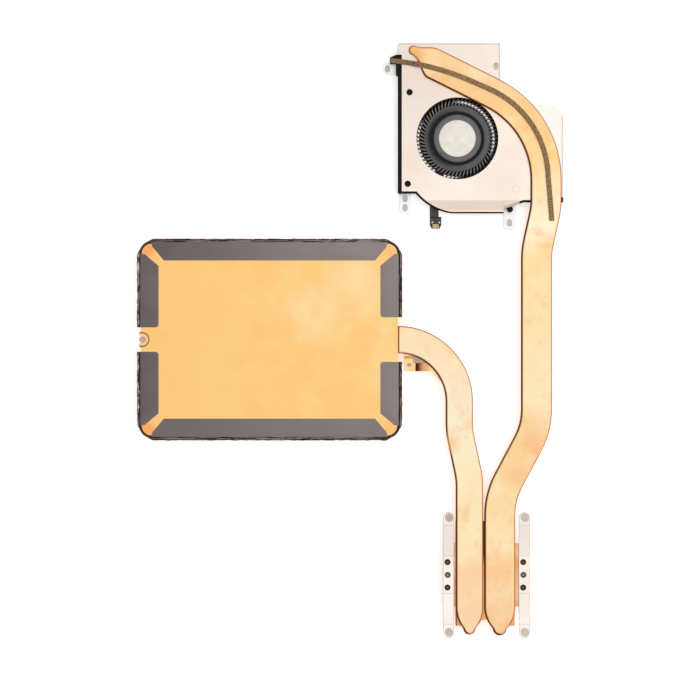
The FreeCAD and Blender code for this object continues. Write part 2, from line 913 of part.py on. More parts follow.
def make_bracket():
    body = new_body("pipe_bracket")
    thickness = size.bracket_thickness
    left = size.bracket_left
    bottom = size.bracket_bottom
    tab_right = left + size.bracket_tab_width
    tab_top = bottom + size.bracket_tab_height
    strip_top = bottom + size.bracket_strip_width
    drop = size.bracket_tab_drop
    bend_x = size.plate_pipe_upper_x - size.plate_pipe_bend_radius
    bend_y = size.spreader_centre_y - size.plate_pipe_bend_radius

    def under_pipe(angle):
        """A point under the middle of the pipe's bend."""
        across = size.plate_pipe_bend_radius
        return bend_x + across * cosine(angle), bend_y + across * sine(angle)

    window_left = left + size.bracket_window_inset
    sheet_outline = flat_sketch(body, "bracket_outline", base_top - thickness)
    draw(sheet_outline, [
        (tab_right - thickness, bottom),
        (size.bracket_strip_end, bottom),
        (size.bracket_toe_x, size.bracket_toe_y),
        under_pipe(size.bracket_low_angle),
        under_pipe(size.bracket_middle_angle),
        under_pipe(size.bracket_high_angle),
        (left, under_pipe(size.bracket_end_angle)[1]),
        (left, tab_top - thickness),
        (window_left, tab_top - thickness),
        (window_left, tab_top + size.bracket_window_rise),
        (size.bracket_strip_end - size.bracket_window_rise, strip_top),
        (tab_right - thickness, strip_top),
    ])
    pad(body, sheet_outline, thickness)

    tab = flat_sketch(body, "bracket_tab", base_top - thickness - drop)
    draw(tab, [
        (left, bottom, size.bracket_corner_radius),
        (tab_right, bottom),
        (tab_right, strip_top),
        (window_left, strip_top),
        (window_left, tab_top),
        (left, tab_top),
    ])
    pad(body, tab, thickness)

    risers = flat_sketch(body, "bracket_risers", base_top - thickness - drop)
    draw(risers, [
        (tab_right - thickness, bottom),
        (tab_right, bottom),
        (tab_right, strip_top),
        (tab_right - thickness, strip_top),
    ])
    draw(risers, [
        (left, tab_top - thickness),
        (window_left, tab_top - thickness),
        (window_left, tab_top),
        (left, tab_top),
    ])
    pad(body, risers, drop + thickness)

    hole = flat_sketch(body, "bracket_hole", base_top - drop)
    draw_circle(hole, left + size.bracket_hole_inset_x, bottom + size.bracket_hole_inset_y,
                size.bracket_hole_radius)
    pocket(body, hole, thickness * 2)


# Fan housing

notch_top_y = size.case_floor_y + size.case_notch_height
case_foot = [
    (size.case_left, size.case_shoulder_y),
    (size.case_shoulder_x, size.case_shoulder_y),
    (size.case_belly_x, size.case_belly_y, size.case_belly_radius),
    (size.case_floor_left, size.case_floor_y),
    (size.case_floor_right, size.case_floor_y),
    (size.case_floor_right, notch_top_y),
    (size.case_heel_x, size.case_heel_y),
    (size.case_right, size.case_heel_y),
]
case_step = [
    (size.case_right, size.case_step_y, size.case_corner_radius),
    (size.case_step_right, size.case_step_y),
    (size.case_step_x, size.case_step_top),
    (size.case_step_x, size.case_top),
]
post_places = ((size.upper_post_x, size.upper_post_y), (size.lower_post_x, size.lower_post_y))


def make_fan_base():
    body = new_body("fan_base_plate")
    outline = flat_sketch(body, "base_outline", fan_floor)
    draw(outline, [(size.case_left, size.case_top)] + case_foot + case_step)
    pad(body, outline, size.fan_base_thickness)

    thickness = size.fan_base_thickness
    overlap = size.case_wall
    upper_half = size.upper_ear_width / 2
    upper = flat_sketch(body, "upper_ear", fan_floor)
    upper_left = size.case_left - size.upper_ear_reach
    draw(upper, [
        (size.case_left + overlap, size.upper_ear_y - upper_half),
        (size.case_left + overlap, size.upper_ear_y + upper_half),
        (upper_left, size.upper_ear_y + upper_half, upper_half - size.ear_flat),
        (upper_left, size.upper_ear_y - upper_half, upper_half - size.ear_flat),
    ])
    pad(body, upper, thickness)

    def hanging_ear(name, left, width, end, top):
        ear = flat_sketch(body, name, fan_floor)
        radius = size.hanging_ear_radius
        draw(ear, [
            (left, top),
            (left, end, radius),
            (left + width, end, radius),
            (left + width, top),
        ])
        pad(body, ear, thickness)
        return left + width / 2

    lower_middle = hanging_ear("lower_ear", size.lower_ear_left, size.lower_ear_width,
                               size.lower_ear_end, size.case_shoulder_y + overlap)
    right_middle = hanging_ear("right_ear", size.right_ear_left, size.right_ear_width,
                               size.right_ear_end, size.case_heel_y)
    slots = flat_sketch(body, "ear_slots", frame_floor)
    for x, y in (
        (size.upper_slot_x, size.upper_ear_y),
        (lower_middle, size.lower_slot_upper_y),
        (lower_middle, size.lower_slot_lower_y),
        (right_middle, size.right_slot_y),
    ):
        draw_slot(slots, x, y, size.ear_slot_width, size.ear_slot_length)
    pocket(body, slots, thickness * 2)


def make_fan_frame():
    body = new_body("fan_frame")
    outline = flat_sketch(body, "frame_outline", frame_floor)
    side_top = size.case_side_top
    draw(outline, [(size.case_left, side_top)] + case_foot + [(size.case_right, side_top)])
    pad(body, outline, size.fan_frame_height)

    wall = size.case_wall
    beyond = wall * 2
    cavity = flat_sketch(body, "frame_cavity", cover_floor)
    draw(cavity, [
        (size.case_left + wall, size.case_top + beyond),
        (size.case_left + wall, size.case_shoulder_y + wall, size.volute_radius),
        (size.case_shoulder_x + size.cavity_slant_shift, size.case_shoulder_y + wall),
        (size.case_belly_x + size.cavity_slant_shift, size.case_belly_y + wall, size.case_belly_radius - wall),
        (size.case_floor_left, size.case_floor_y + wall),
        (size.case_floor_right - wall, size.case_floor_y + wall),
        (size.case_floor_right - size.cavity_slant_shift, notch_top_y + size.cavity_notch_rise),
        (size.case_heel_x - size.cavity_heel_shift, size.case_heel_y + wall),
        (size.case_right + beyond, size.case_heel_y + wall),
        (size.case_right + beyond, size.case_top + beyond),
    ])
    pocket(body, cavity, size.fan_frame_height)

    lug = flat_sketch(body, "frame_lug", frame_floor)
    left = size.case_left
    lug_bottom = size.case_side_top - size.lug_height
    draw(lug, [
        (left + wall / 2, size.case_side_top),
        (left - size.lug_foot_reach, size.case_side_top),
        (left - size.lug_reach, size.case_side_top - size.lug_slope),
        (left - size.lug_reach, lug_bottom),
        (left - size.lug_foot_reach, lug_bottom),
        (left - size.lug_foot_reach, size.case_side_top - size.lug_foot_height),
        (left + wall / 2, size.case_side_top - size.lug_foot_height),
    ])
    pad(body, lug, size.fan_frame_height)
    lug_cap = flat_sketch(body, "frame_lug_cap", cover_floor)
    draw(lug_cap, [
        (left + size.cover_side_inset - size.fixing_clearance, size.case_side_top),
        (left - size.lug_foot_reach, size.case_side_top),
        (left - size.lug_reach, size.case_side_top - size.lug_slope),
        (left - size.lug_reach, lug_bottom),
        (left + size.cover_side_inset - size.fixing_clearance, lug_bottom),
    ])
    pad(body, lug_cap, size.fan_cover_thickness)

    webs = flat_sketch(body, "post_webs", frame_floor)
    posts = flat_sketch(body, "posts", frame_floor)
    reach = size.post_radius + size.post_web
    for x, y in post_places:
        draw(webs, [
            (left + wall / 2, y - reach),
            (x, y - reach),
            (x + reach, y),
            (x, y + reach),
            (left + wall / 2, y + reach),
        ])
        draw_circle(posts, x, y, size.post_radius)
    pad(body, webs, size.fan_frame_height)
    pad(body, posts, size.fan_frame_height + size.fan_cover_thickness + size.post_head)

    over_border = side_sketch(body, "room_under_border", left - wall)
    draw(over_border, border_section(as_size(0), size.fan_cover_thickness * 2))
    cut = pocket(body, over_border, size.case_floor_right - left + wall)
    cut.Reversed = True

    peg = flat_sketch(body, "peg", frame_floor)
    draw_circle(peg, size.peg_x, size.peg_y, size.post_radius)
    pad(body, peg, size.peg_height)

    passage = flex_top + size.flex_notch_clearance
    gap = size.flex_notch_clearance
    notch = flat_sketch(body, "flex_notch", passage)
    draw(notch, [
        (size.flex_left - gap, size.case_floor_y - wall),
        (size.flex_left + size.flex_tail_width + gap, size.case_floor_y - wall),
        (size.flex_left + size.flex_tail_width + gap, size.case_shoulder_y + wall * 2),
        (size.flex_left - gap, size.case_shoulder_y + wall * 2),
    ])
    pocket(body, notch, size.flex_thickness + gap)


def border_section(low, high):
    """An upright section across the sloping border: (y, z) corners between two heights over the cover's floor."""
    bend = size.border_bend_y
    foot = size.border_foot_y
    end = size.case_floor_y - size.case_wall
    drop = size.border_drop
    return [
        (bend, cover_floor + high),
        (foot, cover_floor + high - drop),
        (end, cover_floor + high - drop),
        (end, cover_floor + low - drop),
        (foot, cover_floor + low - drop),
        (bend, cover_floor + low),
    ]


def make_fan_cover():
    body = new_body("fan_cover")
    inset = size.cover_foot_inset
    floor_inset = size.cover_floor_inset
    slant = size.cover_slant_shift
    side_x = size.case_left + size.cover_side_inset
    top_left = size.case_left + size.cover_top_inset
    edge = [
        (top_left, size.case_top),
        (top_left, size.case_side_top + size.fixing_clearance),
        (side_x, size.case_side_top + size.fixing_clearance),
        (side_x, size.case_shoulder_y + inset),
        (size.case_shoulder_x + slant, size.case_shoulder_y + inset),
        (size.case_belly_x + slant, size.case_belly_y + inset, size.case_belly_radius - inset),
        (size.case_floor_left, size.case_floor_y + floor_inset),
        (size.case_floor_right, size.case_floor_y + floor_inset),
        (size.case_floor_right, notch_top_y + inset),
        (size.case_heel_x - slant, size.case_heel_y + inset),
        (size.case_right, size.case_heel_y + inset),
    ] + case_step
    outline = flat_sketch(body, "cover_outline", cover_floor)
    draw(outline, edge)
    pad(body, outline, size.fan_cover_thickness)

    thickness = size.fan_cover_thickness
    beyond = size.case_wall
    below = size.case_floor_y - beyond
    border_left = size.case_left - beyond
    border_right = size.case_floor_right
    level_part = flat_sketch(body, "level_border", base_top)
    draw(level_part, [
        (border_left, below),
        (border_right, below),
        (border_right, size.border_bend_y),
        (border_left, size.border_bend_y),
    ])
    pocket(body, level_part, thickness * 2)
    border = side_sketch(body, "sloping_border", border_left)
    draw(border, border_section(as_size(0), thickness))
    pad(body, border, border_right - border_left)
    surround = flat_sketch(body, "cover_surround", base_top + thickness)
    draw(surround, [
        (border_left - beyond, below - beyond),
        (size.case_right + beyond, below - beyond),
        (size.case_right + beyond, size.case_top + beyond),
        (border_left - beyond, size.case_top + beyond),
    ])
    draw(surround, edge)
    pocket(body, surround, thickness * 4)
    openings = flat_sketch(body, "cover_openings", base_top)
    draw_circle(openings, size.fan_x, size.fan_y, size.inlet_radius)
    draw_slot(openings, size.cover_slot_x, size.cover_slot_y, size.ear_slot_width, size.ear_slot_length)
    for x, y in post_places:
        draw_circle(openings, x, y, size.post_radius + size.fixing_clearance)
    pocket(body, openings, size.fan_cover_thickness * 2)


def make_fins():
    """Thin upright fins across the pipe's route, on one strip, clear of the impeller."""
    body = new_body("fin_stack")
    half = size.fan_pipe_width / 2
    turn = size.fan_pipe_turn
    corner_x = size.fan_pipe_top_x
    corner_y = size.fan_pipe_corner_y
    radius = size.fan_pipe_corner_radius
    lean = tangent(turn / 2)
    tangent_run = radius * lean
    arc_x = corner_x - radius
    arc_y = corner_y - tangent_run
    straight_run = size.fin_pitch * size.fin_straight_count + size.fin_thickness
    slant_run = size.fin_pitch * size.fin_slant_count + size.fin_thickness
    low_y = arc_y - straight_run
    ahead_x = -sine(turn)
    ahead_y = cosine(turn)
    reach = tangent_run + slant_run
    end_x = corner_x + ahead_x * reach
    end_y = corner_y + ahead_y * reach

    strip = flat_sketch(body, "fin_strip", frame_floor)
    draw(strip, [
        (corner_x - half, low_y),
        (corner_x + half, low_y),
        (corner_x + half, corner_y + half * lean, radius + half),
        (end_x + ahead_y * half, end_y - ahead_x * half),
        (end_x - ahead_y * half, end_y + ahead_x * half),
        (corner_x - half, corner_y - half * lean, radius - half),
    ])
    pad(body, strip, size.fin_strip_thickness)

    def fin(name, turned_by, shift=0):
        """One fin on a radius of the route's last bend, turned in plan or shifted along the route."""
        sketch = flat_sketch(body, name, frame_floor, arc_x, arc_y + shift, turned_by)
        thick = size.fin_thickness / 2
        reach = half - size.fin_edge_inset
        draw(sketch, [
            (radius - reach, -thick),
            (radius + reach, -thick),
            (radius + reach, thick),
            (radius - reach, thick),
        ])
        return sketch, pad(body, sketch, size.fan_frame_height)

    first_sketch, first_fin = fin("first_fin", None)
    around = body.newObject("PartDesign::PolarPattern", "fins_around")
    around.Originals = [first_fin]
    around.Axis = (first_sketch, ["N_Axis"])
    set_size(around, "Angle", turn)
    set_size(around, "Occurrences", size.fin_arc_count)
    body.Tip = around

    next_sketch, next_fin = fin("straight_fin", None, -size.fin_pitch)
    down = body.newObject("PartDesign::LinearPattern", "fins_down")
    down.Originals = [next_fin]
    down.Direction = (next_sketch, ["V_Axis"])
    down.Reversed = True
    set_size(down, "Length", size.fin_pitch * (size.fin_straight_count - 1))
    set_size(down, "Occurrences", size.fin_straight_count)
    body.Tip = down

    last_sketch, last_fin = fin("slant_fin", turn)
    along = body.newObject("PartDesign::LinearPattern", "fins_along")
    along.Originals = [last_fin]
    along.Direction = (last_sketch, ["V_Axis"])
    set_size(along, "Length", size.fin_pitch * size.fin_slant_count)
    set_size(along, "Occurrences", size.fin_slant_count + 1)
    body.Tip = along

    clear = flat_sketch(body, "impeller_room", cover_floor)
    draw_circle(clear, size.fan_x, size.fan_y, size.impeller_radius + size.fin_fan_gap)
    pocket(body, clear, size.fan_frame_height)
    outside = flat_sketch(body, "beyond_step", cover_floor)
    draw(outside, [
        (size.case_step_x, size.case_top),
        (size.case_step_x, size.case_step_top),
        (size.case_step_right, size.case_step_y),
        (size.case_right, size.case_step_y),
        (size.case_right, size.case_top),
    ])
    pocket(body, outside, size.fan_frame_height)


# Motor

sleeve_bore = size.shaft_radius + size.shaft_clearance
sleeve_outer = sleeve_bore + size.sleeve_wall
housing_outer = sleeve_outer + size.housing_wall
magnet_outer = size.yoke_outer_radius - size.yoke_wall
magnet_inner = magnet_outer - size.magnet_wall
stator_radius = magnet_inner - size.air_gap
core_ring_outer = housing_outer + size.core_ring_wall


def make_bearing():
    housing_top = frame_floor + size.housing_height
    pad_top = frame_floor + size.thrust_pad_thickness
    turned("bearing_housing", ring(sleeve_outer, housing_outer, frame_floor, housing_top))
    turned("bearing_sleeve", ring(sleeve_bore, sleeve_outer, pad_top, housing_top))
    turned("thrust_pad", ring(as_size(0), sleeve_outer, frame_floor, pad_top))
    turned("rotor_shaft", ring(as_size(0), size.shaft_radius, pad_top, yoke_ceiling))


def make_stator():
    body = new_body("stator_core")
    hub = flat_sketch(body, "core_ring", core_floor, size.fan_x, size.fan_y)
    draw_circle(hub, 0, 0, core_ring_outer)
    draw_circle(hub, 0, 0, housing_outer)
    pad(body, hub, size.core_height)
    tooth = flat_sketch(body, "core_tooth", core_floor, size.fan_x, size.fan_y)
    half = size.tooth_width / 2
    tip_half = size.tooth_tip_width / 2
    tip_outer = stator_radius - size.tooth_tip_depth / 2
    tip_inner = stator_radius - size.tooth_tip_depth
    draw(tooth, [
        (core_ring_outer - size.core_ring_wall / 2, -half),
        (tip_inner, -half),
        (tip_inner - size.tooth_tip_depth / 2, -tip_half),
        (tip_outer - size.tooth_tip_depth / 2, -tip_half),
        (stator_radius, -half),
        (stator_radius, half),
        (tip_outer - size.tooth_tip_depth / 2, tip_half),
        (tip_inner - size.tooth_tip_depth / 2, tip_half),
        (tip_inner, half),
        (core_ring_outer - size.core_ring_wall / 2, half),
    ])
    tooth_pad = pad(body, tooth, size.core_height)
    teeth = body.newObject("PartDesign::PolarPattern", "core_teeth")
    teeth.Originals = [tooth_pad]
    teeth.Axis = (tooth, ["N_Axis"])
    teeth.Angle = 360
    set_size(teeth, "Occurrences", size.tooth_count)
    body.Tip = teeth


def make_coils():
    body = new_body("stator_coils")
    body.AllowCompound = True
    build = size.coil_build
    inner = core_ring_outer + size.coil_end_gap
    outer = stator_radius - size.tooth_tip_depth - size.tooth_tip_depth / 2 - size.coil_end_gap
    half = size.tooth_width / 2
    profile = front_sketch(body, "coil_profile", size.fan_x, size.fan_y, core_floor, as_size(90))
    top = size.core_height
    draw(profile, [
        (-half - build, -build),
        (half + build, -build),
        (half + build, top + build),
        (-half - build, top + build),
    ])
    draw(profile, [(-half, 0), (half, 0), (half, top), (-half, top)])
    set_size(profile, "AttachmentOffset.Base.x", size.fan_x + inner)
    coil = pad(body, profile, outer - inner)
    middle = flat_sketch(body, "coil_axis", core_floor, size.fan_x, size.fan_y)
    draw_circle(middle, 0, 0, housing_outer)
    coils = body.newObject("PartDesign::PolarPattern", "coils_around")
    coils.Originals = [coil]
    coils.Axis = (middle, ["N_Axis"])
    coils.Angle = 360
    set_size(coils, "Occurrences", size.tooth_count)
    body.Tip = coils


def make_rotor():
    turned("rotor_magnet", ring(magnet_inner, magnet_outer, rotor_floor, yoke_ceiling))
    turned("rotor_yoke", [
        (0, yoke_ceiling),
        (magnet_outer, yoke_ceiling),
        (magnet_outer, rotor_floor),
        (size.yoke_outer_radius, rotor_floor),
        (size.yoke_outer_radius, hub_disc_floor),
        (0, hub_disc_floor),
    ])

    ring_top = rotor_top - size.hub_step
    ring_floor = ring_top - size.hub_disc_thickness
    body = turned("impeller", [
        (0, hub_disc_floor),
        (size.yoke_outer_radius, hub_disc_floor),
        (size.yoke_outer_radius, rotor_floor),
        (size.yoke_outer_radius + size.hub_wall, rotor_floor),
        (size.yoke_outer_radius + size.hub_wall, ring_floor),
        (size.blade_root_radius, ring_floor),
        (size.blade_root_radius, ring_top),
        (size.hub_cap_radius, ring_top),
        (size.hub_cap_radius, rotor_top),
        (0, rotor_top),
    ])
    blade = flat_sketch(body, "blade_outline", rotor_floor, size.fan_x, size.fan_y)
    root = size.blade_root_radius - size.blade_thickness / 2
    tip = size.impeller_radius
    half = size.blade_thickness / 2
    lean = size.blade_lean
    draw(blade, [
        (root, -half),
        (tip, -lean - half),
        (tip, half - lean),
        (root, half),
    ])
    blade_pad = pad(body, blade, size.rotor_height)
    blades = body.newObject("PartDesign::PolarPattern", "blades")
    blades.Originals = [blade_pad]
    blades.Axis = (blade, ["N_Axis"])
    blades.Angle = 360
    set_size(blades, "Occurrences", size.blade_count)
    body.Tip = blades

    turned("hub_label", ring(as_size(0), size.label_radius, rotor_top, rotor_top + size.label_thickness))


def make_motor_flex():
    body = new_body("motor_flex")
    board = flat_sketch(body, "motor_board", frame_floor)
    draw_circle(board, size.fan_x, size.fan_y, size.flex_radius)
    draw_circle(board, size.fan_x, size.fan_y, housing_outer)
    pad(body, board, size.flex_thickness)
    tail = flat_sketch(body, "flex_tail", frame_floor)
    left = size.flex_left
    right = left + size.flex_tail_width
    head_right = left + size.flex_head_width
    inside_y = size.case_shoulder_y + size.case_wall
    draw(tail, [
        (left + size.flex_head_chamfer, size.flex_end),
        (head_right - size.flex_head_chamfer, size.flex_end),
        (head_right, size.flex_end + size.flex_head_chamfer),
        (head_right, size.flex_head_top),
        (right, size.flex_head_top),
        (right, inside_y),
        (size.fan_x - size.flex_root_near, size.fan_y - size.flex_root_reach),
        (size.fan_x - size.flex_root_reach, size.fan_y - size.flex_root_far),
        (left, inside_y),
        (left, size.flex_end + size.flex_head_chamfer),
    ])
    pad(body, tail, size.flex_thickness)

    plug_left = left + (size.flex_head_width - size.plug_width) / 2
    plug_right = plug_left + size.plug_width
    plug_top = size.flex_end + size.plug_length
    plug = new_body("plug_body")
    shell = flat_sketch(plug, "plug_outline", flex_top)
    draw(shell, [
        (plug_left, size.flex_end),
        (plug_right, size.flex_end),
        (plug_right, plug_top),
        (plug_left, plug_top),
    ])
    pad(plug, shell, size.plug_height)

    pins = new_body("plug_contacts")
    pins.AllowCompound = True
    pin = flat_sketch(pins, "contact_outline", flex_top + size.plug_height)
    spread = size.contact_pitch * (size.contact_count - 1)
    first_x = (plug_left + plug_right) / 2 - spread / 2 - size.contact_width / 2
    margin = size.contact_thickness
    draw(pin, [
        (first_x, size.flex_end + margin),
        (first_x + size.contact_width, size.flex_end + margin),
        (first_x + size.contact_width, plug_top - margin),
        (first_x, plug_top - margin),
    ])
    first_pin = pad(pins, pin, size.contact_thickness)
    row_of_pins = pins.newObject("PartDesign::LinearPattern", "contact_row")
    row_of_pins.Originals = [first_pin]
    row_of_pins.Direction = (pin, ["H_Axis"])
    set_size(row_of_pins, "Length", spread)
    set_size(row_of_pins, "Occurrences", size.contact_count)
    pins.Tip = row_of_pins


def make_foam():
    """Foam strip along the fan pipe, stepping down on to the cover beside the pipe's crimped end."""
    body = new_body("foam_strip")
    corner_x = size.fan_pipe_top_x + size.foam_corner_shift_x
    corner_y = size.fan_pipe_corner_y + size.foam_corner_shift_y
    path = flat_sketch(body, "foam_path", base_top)
    draw(path, [
        (corner_x + size.foam_end_shift_x, size.foam_end_y),
        (corner_x, corner_y, size.foam_corner_radius),
        (size.foam_first_corner_x, size.foam_first_corner_y, size.foam_first_radius),
        (size.foam_start_x, size.foam_start_y),
    ], closed=False)
    section = front_sketch(body, "foam_section", corner_x + size.foam_end_shift_x, size.foam_end_y, base_top)
    half = size.foam_width / 2
    height = size.pipe_thickness + size.foam_thickness
    draw(section, [(-half, 0), (half, 0), (half, height), (-half, height)])
    sweep(body, section, path)

    # the pipe's flat round end lies this far along its run from the last bend
    turn = size.fan_pipe_turn
    reach = size.fan_pipe_end_run + size.crimp_neck_reach
    step_x = size.fan_pipe_top_x - sine(turn) * reach - size.foam_step_gap
    low = size.foam_end_y - size.foam_width * 2
    high = size.case_top
    right = size.case_right + size.foam_width
    left = size.foam_start_x - size.foam_width
    under = flat_sketch(body, "foam_over_pipe", pipe_top)
    draw(under, [(step_x, low), (right, low), (right, high), (step_x, high)])
    pocket(body, under, size.pipe_thickness)
    over = flat_sketch(body, "foam_beside_pipe", pipe_top + size.foam_thickness)
    edge = step_x - size.foam_step_wall
    draw(over, [(left, low), (edge, low), (edge, high), (left, high)])
    pocket(body, over, size.pipe_thickness)


make_cold_plate()
make_leaf_spring("leaf_spring_left", spring_xs[0])
make_leaf_spring("leaf_spring_right", spring_xs[1])
make_fan_pipe()
make_spreader_pipe()
make_spreader_plate()
make_edge_film("edge_film_upper", 1)
make_edge_film("edge_film_lower", -1)
make_bracket()
make_fan_base()
make_fan_frame()
make_fan_cover()
make_fins()
make_bearing()
make_stator()
make_coils()
make_rotor()
make_motor_flex()
make_foam()

doc.recompute()

faults = []
for item in doc.Objects:
    if "Invalid" in item.State or "Error" in item.State:
        faults.append(f"{item.Name}: {item.State} {item.getStatusString()}")
for body in parts:
    if body.Shape.isNull() or not body.Shape.isValid():
        faults.append(f"{body.Label}: shape is empty or not valid")
for cut in [] if faults else cuts:
    if cut.Shape.Volume > cut.BaseFeature.Shape.Volume - 1e-4:
        faults.append(f"{cut.Name} removes nothing")
if faults:
    raise RuntimeError("; ".join(faults))

os.makedirs("parts", exist_ok=True)
for body in parts:
    body.Shape.exportStep(f"parts/{body.Label}.step")
    box = body.Shape.BoundBox
    print(f"{body.Label}: {len(body.Shape.Solids)} solid(s), {body.Shape.Volume:.1f} mm3, "
          f"{box.XLength:.1f} x {box.YLength:.1f} x {box.ZLength:.1f} mm")
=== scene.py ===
import math

import bmesh
import bpy
from mathutils import Matrix, Vector


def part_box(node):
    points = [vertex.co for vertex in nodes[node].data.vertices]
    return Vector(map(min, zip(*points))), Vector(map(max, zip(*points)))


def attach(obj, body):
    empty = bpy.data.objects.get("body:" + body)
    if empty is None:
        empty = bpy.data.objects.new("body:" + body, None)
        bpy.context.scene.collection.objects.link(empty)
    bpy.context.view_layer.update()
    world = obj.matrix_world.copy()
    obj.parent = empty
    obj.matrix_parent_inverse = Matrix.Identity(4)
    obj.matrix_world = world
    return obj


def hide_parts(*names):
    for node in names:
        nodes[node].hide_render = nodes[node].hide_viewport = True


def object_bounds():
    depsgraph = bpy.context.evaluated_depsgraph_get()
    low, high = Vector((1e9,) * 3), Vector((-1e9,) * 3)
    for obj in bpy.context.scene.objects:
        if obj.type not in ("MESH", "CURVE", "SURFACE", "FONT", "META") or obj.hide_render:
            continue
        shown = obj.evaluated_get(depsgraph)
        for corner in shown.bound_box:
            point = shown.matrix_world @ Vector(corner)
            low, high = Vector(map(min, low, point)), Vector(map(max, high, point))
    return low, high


# Looks of the flat heat-pipe cooler. Lengths are written in millimetres and turned into metres where used.

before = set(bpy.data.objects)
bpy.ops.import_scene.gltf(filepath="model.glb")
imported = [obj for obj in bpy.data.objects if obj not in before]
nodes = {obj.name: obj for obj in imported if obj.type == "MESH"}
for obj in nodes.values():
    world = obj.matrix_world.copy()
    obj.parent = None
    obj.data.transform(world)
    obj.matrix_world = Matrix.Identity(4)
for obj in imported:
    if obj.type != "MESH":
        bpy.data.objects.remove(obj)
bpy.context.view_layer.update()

MM = 0.001


def metres(*lengths):
    return tuple(length * MM for length in lengths)


def low_of(name):
    return [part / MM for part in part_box(name)[0]]


def high_of(name):
    return [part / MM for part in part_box(name)[1]]


def middle_of(name):
    return [(low + high) / 2 for low, high in zip(low_of(name), high_of(name))]


FAN_X, FAN_Y = middle_of("hub_label")[:2]
ROTOR_LOW = low_of("impeller")[2]
ROTOR_TOP = high_of("impeller")[2]
CHAMBER_FLOOR = high_of("fan_base_plate")[2]
COVER_RIGHT, COVER_BACK = high_of("fan_cover")[:2]
PIPE_TOP = high_of("fan_heat_pipe")[2]
SPRING_X = middle_of("leaf_spring_right")[0]
SPRING_HALF = high_of("leaf_spring_right")[0] - SPRING_X
SPRING_EYE_Y = high_of("leaf_spring_right")[1] - SPRING_HALF
SPRING_THICKNESS = 0.5
SPRING_TOP = low_of("leaf_spring_right")[2] + SPRING_THICKNESS
PLATE_TOP = high_of("heat_spreader_plate")[2]
PLATE_RIGHT = high_of("heat_spreader_plate")[0]
PLATE_LEFT = low_of("edge_film_upper")[0] + high_of("edge_film_upper")[0] - PLATE_RIGHT
PLATE_CENTRE = (PLATE_LEFT + PLATE_RIGHT) / 2
PLATE_MIDDLE = middle_of("heat_spreader_plate")[1]
PLATE_HALF = high_of("heat_spreader_plate")[1] - PLATE_MIDDLE
PLATE_CORNER = 5.0

# Each film ends this far from the plate's middle line, at the plate's left and right edges
LEFT_GAP = 5.3
RIGHT_GAP = 9.7


# Camera, floor and light

PIXELS = 700
PIXEL_SIZE = 0.435
VIEW_X = -59.33
VIEW_Y = 97.96
LENS = 200.0
SENSOR = 36.0
VIEW_DISTANCE = PIXELS * PIXEL_SIZE * LENS / SENSOR


def add_camera():
    camera = bpy.data.cameras.new("camera")
    camera.lens = LENS
    camera.sensor_width = SENSOR
    camera.clip_start = 0.01
    holder = bpy.data.objects.new("camera", camera)
    holder.location = metres(VIEW_X, VIEW_Y, VIEW_DISTANCE + PIPE_TOP)
    bpy.context.scene.collection.objects.link(holder)
    bpy.context.scene.camera = holder
    bpy.context.scene.view_settings.view_transform = "Standard"


def tint(red, green, blue):
    """A colour as it is seen, from 0 to 255, in the linear values that a shader takes."""
    def linear(part):
        part = part / 255
        return part / 12.92 if part <= 0.04045 else ((part + 0.055) / 1.055) ** 2.4
    return (linear(red), linear(green), linear(blue), 1.0)


class Shade:
    """One output of a node, which can be used in sums."""

    def __init__(self, tree, socket):
        self.tree = tree
        self.socket = socket

    def maths(self, operation, *values):
        return self.tree.node("ShaderNodeMath", {"operation": operation}, dict(enumerate(values)))

    def __add__(self, other):
        return self.maths("ADD", self, other)

    def __radd__(self, other):
        return self.maths("ADD", other, self)

    def __sub__(self, other):
        return self.maths("SUBTRACT", self, other)

    def __rsub__(self, other):
        return self.maths("SUBTRACT", other, self)

    def __mul__(self, other):
        return self.maths("MULTIPLY", self, other)

    def __rmul__(self, other):
        return self.maths("MULTIPLY", other, self)

    def __truediv__(self, other):
        return self.maths("DIVIDE", self, other)

    def __abs__(self):
        return self.maths("ABSOLUTE", self)

    def root(self):
        return self.maths("SQRT", self)

    def at_least(self, low):
        return self.maths("MAXIMUM", self, low)

    def at_most(self, high):
        return self.maths("MINIMUM", self, high)

    def wave(self):
        return self.maths("SINE", self)

    def between(self, low, high):
        """From 0 at low to 1 at high, with soft ends."""
        settings = {"interpolation_type": "SMOOTHSTEP"}
        inputs = {"Value": self, "From Min": low, "From Max": high}
        return self.tree.node("ShaderNodeMapRange", settings, inputs)

    def near(self, middle, full, gone):
        """1 within the full distance of the middle, 0 past the other one."""
        return 1 - abs(self - middle).between(full, gone)


class Tree:
    """The nodes of a material or of the sky."""

    def __init__(self, tree):
        self.tree = tree

    def node(self, kind, settings=None, inputs=None, output=0):
        item = self.tree.nodes.new(kind)
        for name, value in (settings or {}).items():
            setattr(item, name, value)
        for name, value in (inputs or {}).items():
            self.feed(item.inputs[name], value)
        return Shade(self, item.outputs[output])

    def feed(self, socket, value):
        if isinstance(value, Shade):
            self.tree.links.new(value.socket, socket)
        else:
            socket.default_value = value

    def split(self, vector):
        return [self.node("ShaderNodeSeparateXYZ", None, {0: vector}, index) for index in range(3)]

    def ramp(self, factor, *stops):
        """A colour that runs through (place, colour) stops as the factor goes from 0 to 1."""
        shade = self.node("ShaderNodeValToRGB", None, {0: factor})
        elements = shade.socket.node.color_ramp.elements
        ready = len(elements)
        for index, (spot, colour) in enumerate(stops):
            stop = elements[index] if index < ready else elements.new(spot)
            stop.position = spot
            stop.color = colour
        return shade


